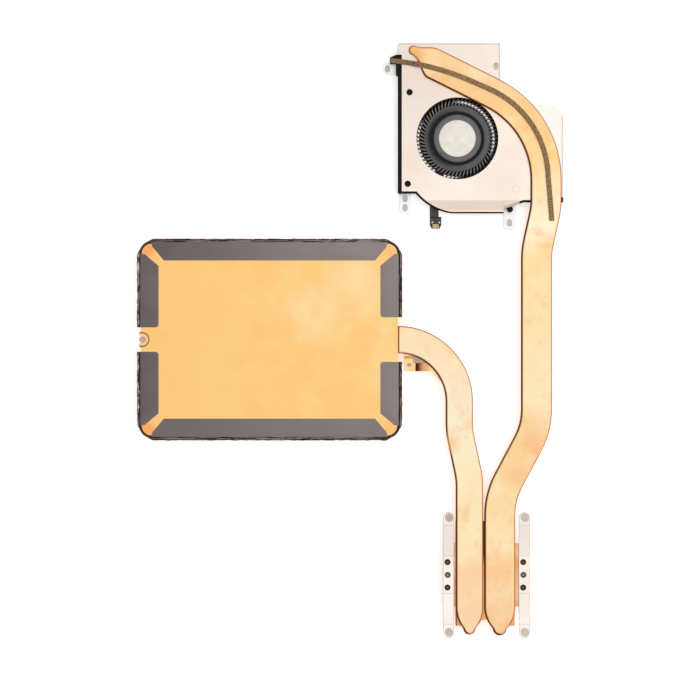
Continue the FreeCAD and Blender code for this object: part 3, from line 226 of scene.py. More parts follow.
class Finish(Tree):
    """A material, whose patterns lie on the part's own millimetres."""

    def __init__(self, name):
        self.material = bpy.data.materials.new(name)
        self.material.use_nodes = True
        super().__init__(self.material.node_tree)
        self.shader = next(item for item in self.tree.nodes if item.type == "BSDF_PRINCIPLED")
        self.place = self.node("ShaderNodeTexCoord", output="Object")
        self.x, self.y, self.z = [part / MM for part in self.split(self.place)]
        self.nx, self.ny, self.nz = self.split(self.node("ShaderNodeTexCoord", output="Normal"))

    def mix(self, factor, first, second):
        inputs = {0: factor, 6: first, 7: second}
        return self.node("ShaderNodeMix", {"data_type": "RGBA"}, inputs, 2)

    def stretched(self, stretch):
        return self.node("ShaderNodeMapping", None, {"Vector": self.place, "Scale": stretch})

    def noise(self, size, detail=3.0, roughness=0.55, stretch=(1, 1, 1), distortion=0.0):
        """Cloudy values round 0.5, in blotches of about the given size."""
        inputs = {
            "Vector": self.stretched(stretch),
            "Scale": 1 / (size * MM),
            "Detail": detail,
            "Roughness": roughness,
            "Distortion": distortion,
        }
        return self.node("ShaderNodeTexNoise", None, inputs)

    def grains(self, size):
        """Distance from scattered points about the given size apart."""
        inputs = {"Vector": self.place, "Scale": 1 / (size * MM)}
        return self.node("ShaderNodeTexVoronoi", None, inputs, "Distance")

    def away_from(self, x, y, reach=0.0):
        """Distance in plan from an upright line, or from a short wall that runs both ways along Y."""
        across = self.x - x
        along = self.y - y
        if reach:
            along = (abs(along) - reach).at_least(0.0)
        return (across * across + along * along).root()

    def bump(self, height, depth, strength=1.0, under=None):
        inputs = {"Height": height, "Distance": depth * MM, "Strength": strength}
        if under is not None:
            inputs["Normal"] = under
        return self.node("ShaderNodeBump", None, inputs)

    def set(self, **values):
        names = {
            "colour": "Base Color",
            "metal": "Metallic",
            "rough": "Roughness",
            "normal": "Normal",
            "gloss": "Specular IOR Level",
            "glow": "Emission Color",
            "glow_strength": "Emission Strength",
        }
        for name, value in values.items():
            self.feed(self.shader.inputs[names[name]], value)


def add_floor():
    """A plain white floor, with soft grey shade straight below the part's small openings."""
    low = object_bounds()[0][2]
    bpy.ops.mesh.primitive_plane_add(size=6.0, location=(0, 0, low))
    floor = bpy.context.object
    floor.name = "floor"
    finish = Finish("white_floor")
    colour = finish.mix(finish.noise(400.0), tint(250, 250, 250), tint(255, 255, 255))
    warm = tint(182, 174, 163)
    cool = tint(176, 174, 172)
    # Radius of each kind of opening, half of a slot's straight part, and the shade below it
    screw_eye = (1.7, 0.0, warm)
    ear_slot = (1.2, 0.5, cool)
    bracket_hole = (1.1, 0.0, cool)
    bracket_side = (4.1, 0.0, warm)
    plate_ear = (1.3, 0.0, warm)
    fade = 0.35
    for x, y, (radius, reach, shade) in (
        (-16.1, 24.85, screw_eye),
        (16.9, 24.85, screw_eye),
        (-16.1, -25.25, screw_eye),
        (16.9, -25.25, screw_eye),
        (-43.0, 220.6, ear_slot),
        (-35.35, 164.1, ear_slot),
        (-35.35, 160.0, ear_slot),
        (10.2, 153.4, ear_slot),
        (-33.5, 91.1, bracket_hole),
        (-29.2, 95.3, bracket_side),
        (-149.9, 102.5, plate_ear),
    ):
        spot = finish.away_from(x, y, reach)
        colour = finish.mix(1 - spot.between(radius, radius + fade), colour, shade)
    finish.set(colour=colour, rough=0.9, glow=colour, glow_strength=0.42)
    floor.data.materials.append(finish.material)


def add_light():
    """A bright ceiling, darker towards the horizon and on the left, and one soft lamp on the right."""
    world = bpy.data.worlds.new("studio")
    bpy.context.scene.world = world
    world.use_nodes = True
    sky = Tree(world.node_tree)
    across, _, up = sky.split(sky.node("ShaderNodeTexCoord", output="Generated"))
    colour = sky.ramp(
        up * 0.92 + across * 0.3,
        (0.0, (0.26, 0.21, 0.18, 1)),
        (0.18, (0.34, 0.29, 0.26, 1)),
        (0.4, (0.62, 0.59, 0.57, 1)),
        (0.62, (0.90, 0.89, 0.88, 1)),
        (0.85, (1.0, 1.0, 1.0, 1)),
    )
    background = next(item for item in world.node_tree.nodes if item.type == "BACKGROUND")
    sky.feed(background.inputs["Color"], colour)

    lamp = bpy.data.lights.new("soft_box", "AREA")
    lamp.shape = "DISK"
    lamp.size = 1.8
    lamp.energy = 4.0
    holder = bpy.data.objects.new("soft_box", lamp)
    holder.location = (1.05, 0.6, 1.05)
    holder.rotation_euler = Vector(holder.location).to_track_quat("Z", "Y").to_euler()
    bpy.context.scene.collection.objects.link(holder)


# Shaping

def select_only(piece):
    bpy.ops.object.select_all(action="DESELECT")
    piece.select_set(True)
    bpy.context.view_layer.objects.active = piece


def open_mesh(piece):
    select_only(piece)
    bpy.ops.object.mode_set(mode="EDIT")
    bpy.ops.mesh.select_all(action="DESELECT")


def close_mesh():
    bpy.ops.object.mode_set(mode="OBJECT")


def pick(piece, kind, test):
    """In edit mode, select only the verts, edges or faces whose place and direction pass a test."""
    modes = {"verts": "VERT", "edges": "EDGE", "faces": "FACE"}
    bpy.ops.mesh.select_mode(type=modes[kind])
    bpy.ops.mesh.select_all(action="DESELECT")
    shape = bmesh.from_edit_mesh(piece.data)
    for part in getattr(shape, kind):
        if kind == "verts":
            place, facing = part.co, part.normal
        elif kind == "edges":
            first, second = (corner.co for corner in part.verts)
            place, facing = (first + second) / 2, (second - first).normalized()
        else:
            place, facing = part.calc_center_median(), part.normal
        if test(place / MM, facing):
            part.select_set(True)
    shape.select_flush_mode()
    bmesh.update_edit_mesh(piece.data)


def modify(piece, kind, **settings):
    """Add a modifier and apply it."""
    select_only(piece)
    modifier = piece.modifiers.new(kind.lower(), kind)
    for name, value in settings.items():
        setattr(modifier, name, value)
    bpy.ops.object.modifier_apply(modifier=modifier.name)


def settle(piece):
    """Put the object at the origin with its place in its mesh."""
    select_only(piece)
    bpy.ops.object.transform_apply(location=True, rotation=True, scale=True)


def face_out(piece):
    open_mesh(piece)
    bpy.ops.mesh.select_all(action="SELECT")
    bpy.ops.mesh.remove_doubles(threshold=0.001 * MM)
    bpy.ops.mesh.normals_make_consistent(inside=False)
    close_mesh()


def smooth(piece, angle):
    select_only(piece)
    bpy.ops.object.shade_smooth_by_angle(angle=math.radians(angle))


def dress(piece, body, slot, material, *replaced):
    piece.data.materials.clear()
    piece.data.materials.append(material)
    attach(piece, body)
    if replaced:
        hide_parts(*replaced)
    return piece


def copy_of(node, name):
    """A merged copy of a CAD node's mesh, with its flat faces whole."""
    piece = bpy.data.objects.new(name, nodes[node].data.copy())
    bpy.context.scene.collection.objects.link(piece)
    open_mesh(piece)
    bpy.ops.mesh.select_all(action="SELECT")
    if piece.data.has_custom_normals:
        bpy.ops.mesh.customdata_custom_splitnormals_clear()
    bpy.ops.mesh.remove_doubles(threshold=0.002 * MM)
    bpy.ops.mesh.select_all(action="SELECT")
    bpy.ops.mesh.dissolve_limited(angle_limit=math.radians(0.5))
    close_mesh()
    return piece


def round_edges(piece, width, segments, angle):
    modify(piece, "BEVEL", width=width * MM, segments=segments, limit_method="ANGLE",
           angle_limit=math.radians(angle), use_clamp_overlap=True)
    select_only(piece)
    bpy.ops.object.shade_smooth()
    modify(piece, "WEIGHTED_NORMAL", mode="FACE_AREA", weight=60, keep_sharp=False)
    return piece


def eased_copy(node, name, width, angle=35):
    """A copy of a CAD node with its sharp edges rounded, as pressed or moulded edges are."""
    return round_edges(copy_of(node, name), width, 2, angle)


def pressed_pipe(node, name):
    """A copy of a flattened pipe whose flat top falls away a little towards its edge."""
    shoulder = 0.9
    fall = 0.14
    nearly_top = PIPE_TOP - 0.01
    piece = copy_of(node, name)
    open_mesh(piece)
    pick(piece, "faces", lambda place, facing: facing.z > 0.999 and place.z > nearly_top)
    bpy.ops.mesh.inset(thickness=shoulder * MM, depth=0.0)
    shape = bmesh.from_edit_mesh(piece.data)
    for vertex in shape.verts:
        vertex.select_set(not vertex.select and vertex.co.z > nearly_top * MM)
    bmesh.update_edit_mesh(piece.data)
    bpy.ops.mesh.select_mode(type="VERT")
    bpy.ops.transform.translate(value=metres(0, 0, -fall))
    close_mesh()
    return round_edges(piece, 0.2, 3, 30)


def turned_piece(name, stations, steps=96, x=FAN_X, y=FAN_Y):
    """A solid turned about an upright axis through (radius, height) stations, with a flat cap at each end."""
    radius, height = stations[0]
    bpy.ops.mesh.primitive_circle_add(vertices=steps, radius=radius * MM, fill_type="NGON",
                                      location=metres(x, y, height))
    piece = bpy.context.object
    piece.name = name
    settle(piece)
    open_mesh(piece)
    bpy.ops.mesh.select_all(action="SELECT")
    for (radius, height), (next_radius, next_height) in zip(stations, stations[1:]):
        bpy.ops.mesh.extrude_region_move(TRANSFORM_OT_translate={"value": metres(0, 0, next_height - height)})
        share = next_radius / radius
        bpy.ops.transform.resize(value=(share, share, 1), center_override=metres(x, y, next_height))
    close_mesh()
    face_out(piece)
    return piece


def join(pieces, name):
    select_only(pieces[0])
    for piece in pieces[1:]:
        piece.select_set(True)
    bpy.ops.object.join()
    pieces[0].name = name
    return pieces[0]


# Finishes

def copper(name, stops, edges=(-0.85, -0.5), marks=None):
    """Bare copper whose colour drifts along Y, with cloudy patches and rolling marks.

    Its edges carry painted shade, orange then dark brown, most on the side that faces the way given by edges,
    or none at all for None; faces that point down get a little painted shade too.
    """
    low = -25.0
    high = 232.0
    tiny = 0.0001
    finish = Finish(name)
    along = (finish.y - low) / (high - low) + (finish.noise(18.0) - 0.5) * 0.12
    base = finish.ramp(along, *stops)
    clouds = finish.noise(14.0, detail=4.0).between(0.42, 0.68)
    colour = finish.mix(clouds * 0.45, base, tint(255, 240, 204))
    warmth = finish.noise(10.0, detail=5.0, roughness=0.65).between(0.5, 0.72)
    colour = finish.mix(warmth * 0.45, colour, tint(250, 188, 130))
    stains = finish.noise(5.0, detail=5.0, roughness=0.7).between(0.52, 0.74)
    colour = finish.mix(stains * 0.12, colour, tint(232, 162, 104))
    if edges:
        # Painted shade: orange towards the edges, dark brown on the sides, darkest on the side that faces the
        # way given by edges.
        level = (finish.nx * finish.nx + finish.ny * finish.ny + tiny).root()
        shaded = ((finish.nx * edges[0] + finish.ny * edges[1]) / level).between(0.0, 0.7)
        sideways = finish.nz.between(-0.1, 0.2)
        warm = 1 - finish.nz.between(0.975, 0.9999)
        colour = finish.mix(warm * 0.85, colour, tint(243, 168, 110))
        rim = (1 - finish.nz.between(0.88, 0.99)) * sideways
        colour = finish.mix(rim * 0.97, colour, tint(86, 38, 14))
        band = (1 - finish.nz.between(0.987, 0.99993)) * shaded * sideways
        colour = finish.mix(band * 0.95, colour, tint(104, 46, 12))
    if marks:
        colour = marks(finish, colour)
    # Painted shade: faces that point down are darker.
    below = 1 - finish.nz.between(-0.9, -0.3)
    colour = finish.mix(below * 0.3, colour, tint(206, 140, 92))
    rolling = finish.noise(0.5, detail=2.0, stretch=(1, 0.12, 1))
    dents = finish.noise(7.0, detail=2.0)
    normal = finish.bump(rolling, 0.004, 0.6, finish.bump(dents, 0.12, 0.3))
    finish.set(colour=colour, metal=1.0, rough=0.3 + 0.12 * finish.noise(3.0), normal=normal)
    return finish.material


def sheet_steel(name, first, second, marks=None, black_and_glints=None):
    """Plated sheet steel with faint clouds, fine rolling lines, small scuffs and sides greyed by painted
    shade.

    The last function given returns where the steel is black and where it glows with painted glints, or None.
    """
    finish = Finish(name)
    clouds = finish.noise(22.0, detail=4.0).between(0.35, 0.68)
    colour = finish.mix(clouds, first, second)
    scuffs = finish.noise(1.4, detail=6.0, roughness=0.75, stretch=(1, 0.3, 1)).between(0.62, 0.78)
    colour = finish.mix(scuffs * 0.16, colour, tint(206, 190, 178))
    # Painted shade: the sheet's steep sides are greyer.
    rim = 1 - abs(finish.nz).between(0.45, 0.97)
    colour = finish.mix(rim * 0.7, colour, tint(132, 122, 116))
    if marks:
        colour = marks(finish, colour)
    metal = 1.0
    # Black where the last function says: painted shade in the fan chamber, the frame's black beside the wide
    # pipe.
    if black_and_glints:
        dark, lit = black_and_glints(finish)
        colour = finish.mix(dark, colour, tint(9, 8, 8))
        metal = 1 - dark
        # Painted glints: the steel glows there, though it is no lamp.
        if lit is not None:
            finish.set(glow=finish.mix(lit, (0, 0, 0, 1), tint(222, 219, 215)), glow_strength=1.0)
    lines = finish.noise(0.3, detail=2.0, stretch=(1, 0.05, 1))
    finish.set(colour=colour, metal=metal, rough=0.32 + 0.15 * clouds, gloss=0.1,
               normal=finish.bump(lines, 0.003, 0.5))
    return finish.material


def moulded_plastic(name, shade, worn, rough=0.5, grain=0.35, gloss=0.25, marks=None):
    """Moulded plastic with a fine grain and paler, rubbed patches."""
    finish = Finish(name)
    rubbed = finish.noise(3.0, detail=5.0).between(0.45, 0.7)
    colour = finish.mix(rubbed * 0.5, shade, worn)
    if marks:
        colour = marks(finish, colour)
    speck = finish.grains(grain)
    finish.set(colour=colour, rough=rough + 0.15 * rubbed, gloss=gloss, normal=finish.bump(speck, 0.02, 0.4))
    return finish.material


# Blower wheel and its label: radii from the axis, and the number of blades

PIN_MARKS = 9.55
GROOVE = 11.05
CONE_INNER = 11.95
BLADE_ROOT = 14.0
BLADE_TIP = 19.3
BLADES = 61
LABEL = 8.0


def wheel_marks(finish, colour):
    """Black groove and gaps and dark pin marks as painted shade, a paler ring, painted highlights on the
    blade crests, painted shade at the cone's foot and the cover rim's painted shadow on the blade tips.
    """
    radius = finish.away_from(FAN_X, FAN_Y)
    ring = 1 - radius.between(10.2, 10.7)
    colour = finish.mix(ring, colour, tint(108, 107, 108))
    # Painted shade: small dark spots stand for the shade in the pin marks' dimples.
    for clock in (0.2, 1.35, 2.6, 3.9, 5.2):
        x = FAN_X + PIN_MARKS * math.cos(clock)
        y = FAN_Y + PIN_MARKS * math.sin(clock)
        spot = 1 - finish.away_from(x, y).between(0.15, 0.5)
        colour = finish.mix(spot * 0.6, colour, tint(34, 33, 34))
    # Painted highlight: the blade crests are paler.
    crests = radius.between(14.3, 14.9) * finish.z.between(0.9, 1.1)
    colour = finish.mix(crests, colour, tint(118, 115, 116))
    # Painted shade at the cone's foot, heavier on the left.
    leftward = 1 - finish.x.between(FAN_X - 12, FAN_X + 6)
    foot = radius.near(11.7, 0.3, 2.5) * (0.25 + 0.7 * leftward)
    colour = finish.mix(foot, colour, tint(26, 26, 28))
    # Painted shade: the groove is black.
    colour = finish.mix(radius.near(GROOVE, 0.4, 1.0), colour, tint(5, 5, 6))
    # Painted shadow of the cover's rim on the blade tips.
    rim_shadow = finish.mix(finish.noise(0.9).between(0.4, 0.65), tint(10, 8, 6), tint(70, 58, 48))
    colour = finish.mix(radius.between(16.0, 16.6) * 0.92, colour, rim_shadow)
    # Painted shade: black low in the gaps between the blades.
    low = (1 - finish.z.between(0.0, 0.95)) * radius.between(14.0, 14.6)
    return finish.mix(low, colour, tint(6, 5, 5))


def make_wheel():
    """A hub with a deep groove and a sloping ring, and leaning blades."""
    hub = turned_piece("impeller_wheel", [
        (0.5, 0.8),
        (7.7, 0.8),
        (7.75, -1.15),
        (8.25, -1.15),
        (8.35, 0.3),
        (13.9, -0.1),
        (14.4, 0.0),
        (14.5, 0.3),
        (14.3, 0.5),
        (CONE_INNER, 1.24),
        (11.85, 1.24),
        (11.75, 1.1),
        (11.7, 0.45),
        (10.5, 0.45),
        (10.45, 1.15),
        (10.38, 1.31),
        (10.25, 1.38),
        (10.0, ROTOR_TOP),
        (0.5, ROTOR_TOP),
    ])
    thickness = 0.68
    lean = 3.0
    bow = 0.15
    snap = 0.2
    # How far the blade's crest lies below the wheel's top, from root to tip
    drops = (-0.65, -0.3, -0.08, 0.0, -0.04, -0.25)
    steps = len(drops) - 1
    middle = (BLADE_ROOT + BLADE_TIP) / 2
    bpy.ops.mesh.primitive_cube_add(size=MM,
                                    location=metres(FAN_X + middle, FAN_Y, (ROTOR_LOW + ROTOR_TOP) / 2))
    blade = bpy.context.object
    blade.scale = (BLADE_TIP - BLADE_ROOT, thickness, ROTOR_TOP - ROTOR_LOW)
    settle(blade)
    open_mesh(blade)
    pick(blade, "edges", lambda place, way: abs(way.x) > 0.9)
    bpy.ops.mesh.subdivide(number_cuts=steps - 1)
    for step, drop in enumerate(drops):
        share = step / steps
        reach = FAN_X + BLADE_ROOT + (BLADE_TIP - BLADE_ROOT) * share
        pick(blade, "verts", lambda place, way: abs(place.x - reach) < snap)
        sway = lean * share - 4 * bow * share * (1 - share)
        bpy.ops.transform.translate(value=metres(0, -sway, 0))
        pick(blade, "verts", lambda place, way: abs(place.x - reach) < snap and place.z > 0)
        bpy.ops.transform.translate(value=metres(0, 0, drop))
    pick(blade, "edges", lambda place, way: place.z > 0.6 and abs(way.y) < 0.6 and abs(way.x) > 0.5)
    bpy.ops.mesh.bevel(offset=0.16 * MM, segments=2)
    close_mesh()
    blades = [blade]
    to_axis = Matrix.Translation(metres(FAN_X, FAN_Y, 0))
    for index in range(1, BLADES):
        turn = Matrix.Rotation(math.tau * index / BLADES, 4, "Z")
        copy = bpy.data.objects.new("blade", blade.data.copy())
        copy.data.transform(to_axis @ turn @ to_axis.inverted())
        bpy.context.scene.collection.objects.link(copy)
        blades.append(copy)
    wheel = join([hub] + blades, "impeller_wheel")
    smooth(wheel, 32)
    finish = moulded_plastic("impeller_grey", tint(98, 96, 99), tint(116, 113, 115), rough=0.42, grain=0.25,
                             marks=wheel_marks)
    dress(wheel, "rotor", "impeller_plastic", finish, "impeller")


def make_label():
    """Blank round film on the hub, its edge a little turned down."""
    label = turned_piece("hub_label_film", [
        (0.5, ROTOR_TOP + 0.005),
        (LABEL - 0.05, ROTOR_TOP + 0.005),
        (LABEL, ROTOR_TOP + 0.03),
        (LABEL - 0.1, ROTOR_TOP + 0.07),
        (LABEL - 0.4, ROTOR_TOP + 0.08),
        (0.5, ROTOR_TOP + 0.08),
    ])
    smooth(label, 50)
    finish = Finish("label_cream")
    clouds = finish.noise(2.6, detail=5.0).between(0.35, 0.7)
    fibres = finish.noise(0.4)
    rim = finish.away_from(FAN_X, FAN_Y).between(LABEL - 0.8, LABEL)
    colour = finish.mix(clouds, tint(238, 232, 220), tint(250, 247, 238))
    colour = finish.mix(rim * 0.5, colour, tint(214, 206, 192))
    finish.set(colour=colour, rough=0.45 + 0.1 * clouds, normal=finish.bump(fibres, 0.01, 0.3))
    dress(label, "rotor", "label_film", finish.material, "hub_label")


# Films on the plate's edge

def turn_strip(x, y):
    """Sweep the selected row of a strip round a corner of the plate."""
    bpy.ops.mesh.spin(steps=9, angle=math.radians(90), center=metres(x, y, 0), axis=(0, 0, 1))


def run_strip(x, y, steps):
    """Draw the selected row of a strip straight on, in equal steps."""
    for _ in range(steps):
        bpy.ops.mesh.extrude_region_move(TRANSFORM_OT_translate={"value": metres(x / steps, y / steps, 0)})


def fold_skirt(side):
    """Film folded down over half of the plate's edge, as one strip that goes round two corners."""
    # How far each fold of the strip lies out from the plate's edge and up from its top
    fold = (
        (-0.5, 0.06),
        (0.05, 0.13),
        (0.4, 0.0),
        (0.75, -0.6),
        (1.1, -1.3),
        (1.45, -1.95),
        (1.7, -2.4),
        (1.9, -2.75),
    )
    corner_x = PLATE_LEFT + PLATE_CORNER
    far_corner_x = PLATE_RIGHT - PLATE_CORNER
    corner_y = PLATE_MIDDLE + PLATE_HALF - PLATE_CORNER
    start_y = PLATE_MIDDLE + LEFT_GAP
    length = corner_y - start_y
    rows = 26
    bpy.ops.mesh.primitive_grid_add(x_subdivisions=len(fold) - 1, y_subdivisions=rows, size=MM,
                                    location=metres(0, start_y + length / 2, 0))
    strip = bpy.context.object
    strip.scale = (len(fold) - 1, length, 1)
    settle(strip)
    open_mesh(strip)
    half = (len(fold) - 1) / 2
    for index, (out, lift) in enumerate(reversed(fold)):
        pick(strip, "verts", lambda place, way: abs(place.z) < 0.01 and abs(place.x + half - index) < 0.2)
        shift = PLATE_LEFT - out - (index - half)
        bpy.ops.transform.translate(value=metres(shift, 0, PLATE_TOP + lift))
    pick(strip, "verts", lambda place, way: abs(place.y - corner_y) < 0.01)
    bpy.ops.mesh.select_mode(type="EDGE")
    turn_strip(corner_x, corner_y)
    run_strip(far_corner_x - corner_x, 0, 84)
    turn_strip(far_corner_x, corner_y)
    run_strip(0, PLATE_MIDDLE + RIGHT_GAP - corner_y, 23)
    if side < 0:
        bpy.ops.mesh.select_all(action="SELECT")
        bpy.ops.transform.resize(value=(1, -1, 1), center_override=metres(0, PLATE_MIDDLE, 0))
    close_mesh()
    face_out(strip)
    return strip


def past_corner(x, y):
    """How far a point is past the centres of the plate's rounded corners, across and along."""
    return (abs(x - PLATE_CENTRE) - (PLATE_RIGHT - PLATE_CENTRE - PLATE_CORNER),
            abs(y - PLATE_MIDDLE) - (PLATE_HALF - PLATE_CORNER))


def draw_in_corners(piece):
    """Pull the film tight round the plate's corners, where it was cut away on top."""
    inner = 4.5
    tight = 4.9
    squeeze = 0.52
    for vertex in piece.data.vertices:
        x = vertex.co.x / MM
        y = vertex.co.y / MM
        across, along = past_corner(x, y)
        if across > 0 and along > 0:
            radius = math.hypot(across, along)
            ease = min(1.0, 1.7 * math.sin(2 * math.atan2(along, across)))
            shift = (tight + (radius - inner) * squeeze - radius) * ease / radius * MM
            vertex.co.x += across * shift * math.copysign(1, x - PLATE_CENTRE)
            vertex.co.y += along * shift * math.copysign(1, y - PLATE_MIDDLE)


def crumple(piece, size, strength, label):
    """Irregular creases on the part of a film that hangs free, shallower ones at the corners."""
    grow = 1.5
    at_corner = 0.3
    group = piece.vertex_groups.new(name="free")
    for vertex in piece.data.vertices:
        across, along = past_corner(vertex.co.x / MM, vertex.co.y / MM)
        weight = min(1.0, max(0.0, (PLATE_TOP - vertex.co.z / MM) / grow))
        if across > 0 and along > 0:
            weight *= at_corner
        group.add([vertex.index], weight, "REPLACE")
    creases = bpy.data.textures.new(f"creases_{label}", "CLOUDS")
    creases.noise_scale = size * MM
    creases.noise_depth = 3
    modify(piece, "DISPLACE", texture=creases, strength=strength * MM, mid_level=0.5,
           direction="NORMAL", texture_coords="LOCAL", vertex_group="free")


def flap(corners, rounded=None):
    """A flat panel of film on the plate, from its corners in order, and an (x, y, radius) to round one."""
    thickness = 0.17
    lift = 0.02
    edge = 0.06
    xs = [x for x, y in corners]
    ys = [y for x, y in corners]
    bpy.ops.mesh.primitive_circle_add(vertices=len(corners), radius=MM, fill_type="NGON",
                                      location=metres(sum(xs) / len(xs), sum(ys) / len(ys), PLATE_TOP + lift))
    panel = bpy.context.object
    settle(panel)
    for vertex, (x, y) in zip(panel.data.vertices, corners):
        vertex.co.x = x * MM
        vertex.co.y = y * MM
    face_out(panel)
    open_mesh(panel)
    if rounded is not None:
        x, y, radius = rounded
        pick(panel, "verts", lambda place, way: abs(place.x - x) < 0.01 and abs(place.y - y) < 0.01)
        bpy.ops.mesh.bevel(offset=radius * MM, segments=5, affect="VERTICES")
    bpy.ops.mesh.select_all(action="SELECT")
    bpy.ops.mesh.extrude_region_move(TRANSFORM_OT_translate={"value": metres(0, 0, thickness)})
    close_mesh()
    face_out(panel)
    modify(panel, "BEVEL", width=edge * MM, segments=2, limit_method="ANGLE", angle_limit=math.radians(40))
    return panel


def film_finish():
    """Dark film: grey painted sheen where it lies flat, black with grey streaks of painted sheen where it
    hangs, painted glints on the left.
    """
    finish = Finish("film_black")
    black = tint(2, 2, 2)
    # Painted sheen: the flat film is grey, paler to the right.
    drift = finish.x.between(-150, -60)
    patches = finish.noise(16.0).between(0.35, 0.7)
    flat = finish.mix(drift, tint(110, 104, 103), tint(149, 140, 138))
    flat = finish.mix(patches * 0.35, flat, tint(128, 121, 120))
    flat = finish.mix((1 - finish.y.between(64, 72)) * 0.6, flat, tint(130, 123, 121))
    across, along = past_corner(finish.x, finish.y)
    corner = across.between(0.0, 1.2) * along.between(0.0, 1.2)
    side = across.between(3.9, 4.3)
    lengthwise = finish.noise(1.2, roughness=0.6, stretch=(0.12, 1.4, 1.4))
    upward = finish.noise(1.1, roughness=0.6, stretch=(1.2, 0.16, 1.2))
    strokes = finish.mix(lengthwise.between(0.47, 0.51), flat, black)
    strokes = finish.mix(1 - finish.z.between(PLATE_TOP - 2.4, PLATE_TOP - 2.0), strokes, black)
    # Painted sheen: grey streaks on the hanging film.
    streaks = finish.mix(upward.between(0.48, 0.56), black, tint(122, 117, 115))
    # Painted glints: pale flecks on the leftmost hanging film.
    leftmost = 1 - finish.x.between(PLATE_LEFT - 0.7, PLATE_LEFT - 0.3)
    glints = finish.noise(1.7, detail=4.0, roughness=0.7, stretch=(1, 0.4, 1)).between(0.53, 0.59)
    streaks = finish.mix(glints * leftmost, streaks, tint(214, 211, 209))
    edge = finish.z + (finish.noise(2.5) - 0.5) * 0.4
    streaks = finish.mix(edge.near(PLATE_TOP - 0.35, 0.36, 0.5), streaks, black)
    hanging = finish.mix(corner, finish.mix(side, strokes, streaks), black)
    top = edge.between(PLATE_TOP - 0.04, PLATE_TOP + 0.1)
    colour = finish.mix(top * (1 - corner), hanging, flat)
    creases = finish.noise(1.3, detail=4.0)
    finish.set(colour=colour, rough=0.36 + 0.2 * top, gloss=0.04, normal=finish.bump(creases, 0.05, 0.35))
    return finish.material


def film_flaps(side):
    """The three mitred flaps of the upper film (side 1) or the lower one (side -1)."""
    deep = 7.6
    near = 4.8
    far = 9.9
    step = 1.5
    over = 0.28
    rounding = 1.3

    def row(depth):
        return PLATE_MIDDLE + (PLATE_HALF - depth) * side

    panels = []
    for edge, inward, half_gap in ((PLATE_LEFT, 1, LEFT_GAP), (PLATE_RIGHT, -1, RIGHT_GAP)):
        gap = PLATE_MIDDLE + half_gap * side
        panels.append(flap([
            (edge - over * inward, gap),
            (edge + deep * inward, gap),
            (edge + deep * inward, row(far)),
            (edge + step * inward, row(near)),
            (edge - over * inward, row(near)),
        ], (edge + deep * inward, gap, rounding)))
    panels.append(flap([
        (PLATE_LEFT + near, row(-over)),
        (PLATE_LEFT + near, row(step)),
        (PLATE_LEFT + far, row(deep)),
        (PLATE_RIGHT - far, row(deep)),
        (PLATE_RIGHT - near, row(step)),
        (PLATE_RIGHT - near, row(-over)),
    ]))
    return panels


def make_films():
    material = film_finish()
    for name, side in (("upper", 1), ("lower", -1)):
        strip = fold_skirt(side)
        draw_in_corners(strip)
        crumple(strip, 2.6, 0.75, name)
        crumple(strip, 0.9, 0.3, f"{name}_fine")
        modify(strip, "SOLIDIFY", thickness=0.09 * MM, offset=-1.0)
        film = join([strip] + film_flaps(side), f"film_{name}")
        smooth(film, 40)
        dress(film, "cooler", "edge_film", material, f"edge_film_{name}")


# Foam, sheets, pipes and frame

def make_foam():
    """Open-cell foam strip, soft-edged and rough, along the wide pipe."""
    foam = copy_of("foam_strip", "foam_tape")
    modify(foam, "REMESH", mode="VOXEL", voxel_size=0.24 * MM)
    modify(foam, "SMOOTH", factor=0.5, iterations=3)
    pores = bpy.data.textures.new("cells", "CLOUDS")
    pores.noise_scale = 0.7 * MM
    pores.noise_depth = 2
    modify(foam, "DISPLACE", texture=pores, strength=0.12 * MM, mid_level=0.9, direction="NORMAL",
           texture_coords="LOCAL")
    smooth(foam, 60)
    finish = Finish("foam_brown")
    cells = finish.noise(0.6, detail=4.0, roughness=0.7)
    patches = finish.noise(5.0).between(0.4, 0.7)
    colour = finish.mix(cells.between(0.35, 0.68), tint(110, 83, 57), tint(182, 149, 109))
    colour = finish.mix(patches * 0.3, colour, tint(150, 120, 86))
    leftward = 1 - finish.x.between(-34.0, -12.0)
    colour = finish.mix(leftward * 0.3, colour, tint(104, 86, 70))
    finish.set(colour=colour, rough=0.95, gloss=0.2, normal=finish.bump(finish.grains(0.5), 0.12, 0.7))
    dress(foam, "cooler", "foam", finish.material, "foam_strip")


def orange_patch(finish, colour, x, y, reach, shade):
    """A ragged patch of deeper orange on a pipe."""
    ragged = 0.3 + finish.noise(4.0, detail=5.0, roughness=0.7)
    patch = 1 - finish.away_from(x, y).between(0.5, reach)
    return finish.mix(patch * 0.7 * ragged, colour, shade)


def fan_pipe_marks(finish, colour):
    """Deeper orange at the crimped nib and in two places lower down."""
    nib = 1 - finish.away_from(-32.0, 226.5).between(1.5, 8.0)
    colour = finish.mix(nib * finish.nz.between(0.8, 0.95) * 0.8, colour, tint(240, 182, 108))
    for x, y in ((21.0, 57.0), (14.0, 44.0)):
        colour = orange_patch(finish, colour, x, y, 9.5, tint(249, 180, 126))
    return colour


def plate_pipe_marks(finish, colour):
    """A brown line of painted shadow on the narrow pipe where the sheet ends, and deeper orange in one place.
    """
    # Painted shadow of the sheet's edge, a brown line on the pipe's top.
    upper = finish.z.between(PIPE_TOP - 0.3, PIPE_TOP - 0.15)
    line = finish.x.near(PLATE_RIGHT + 0.3, 0.25, 0.5) * upper
    colour = finish.mix(line * 0.9, colour, tint(130, 66, 16))
    return orange_patch(finish, colour, -16.2, 57.0, 7.0, tint(248, 190, 124))


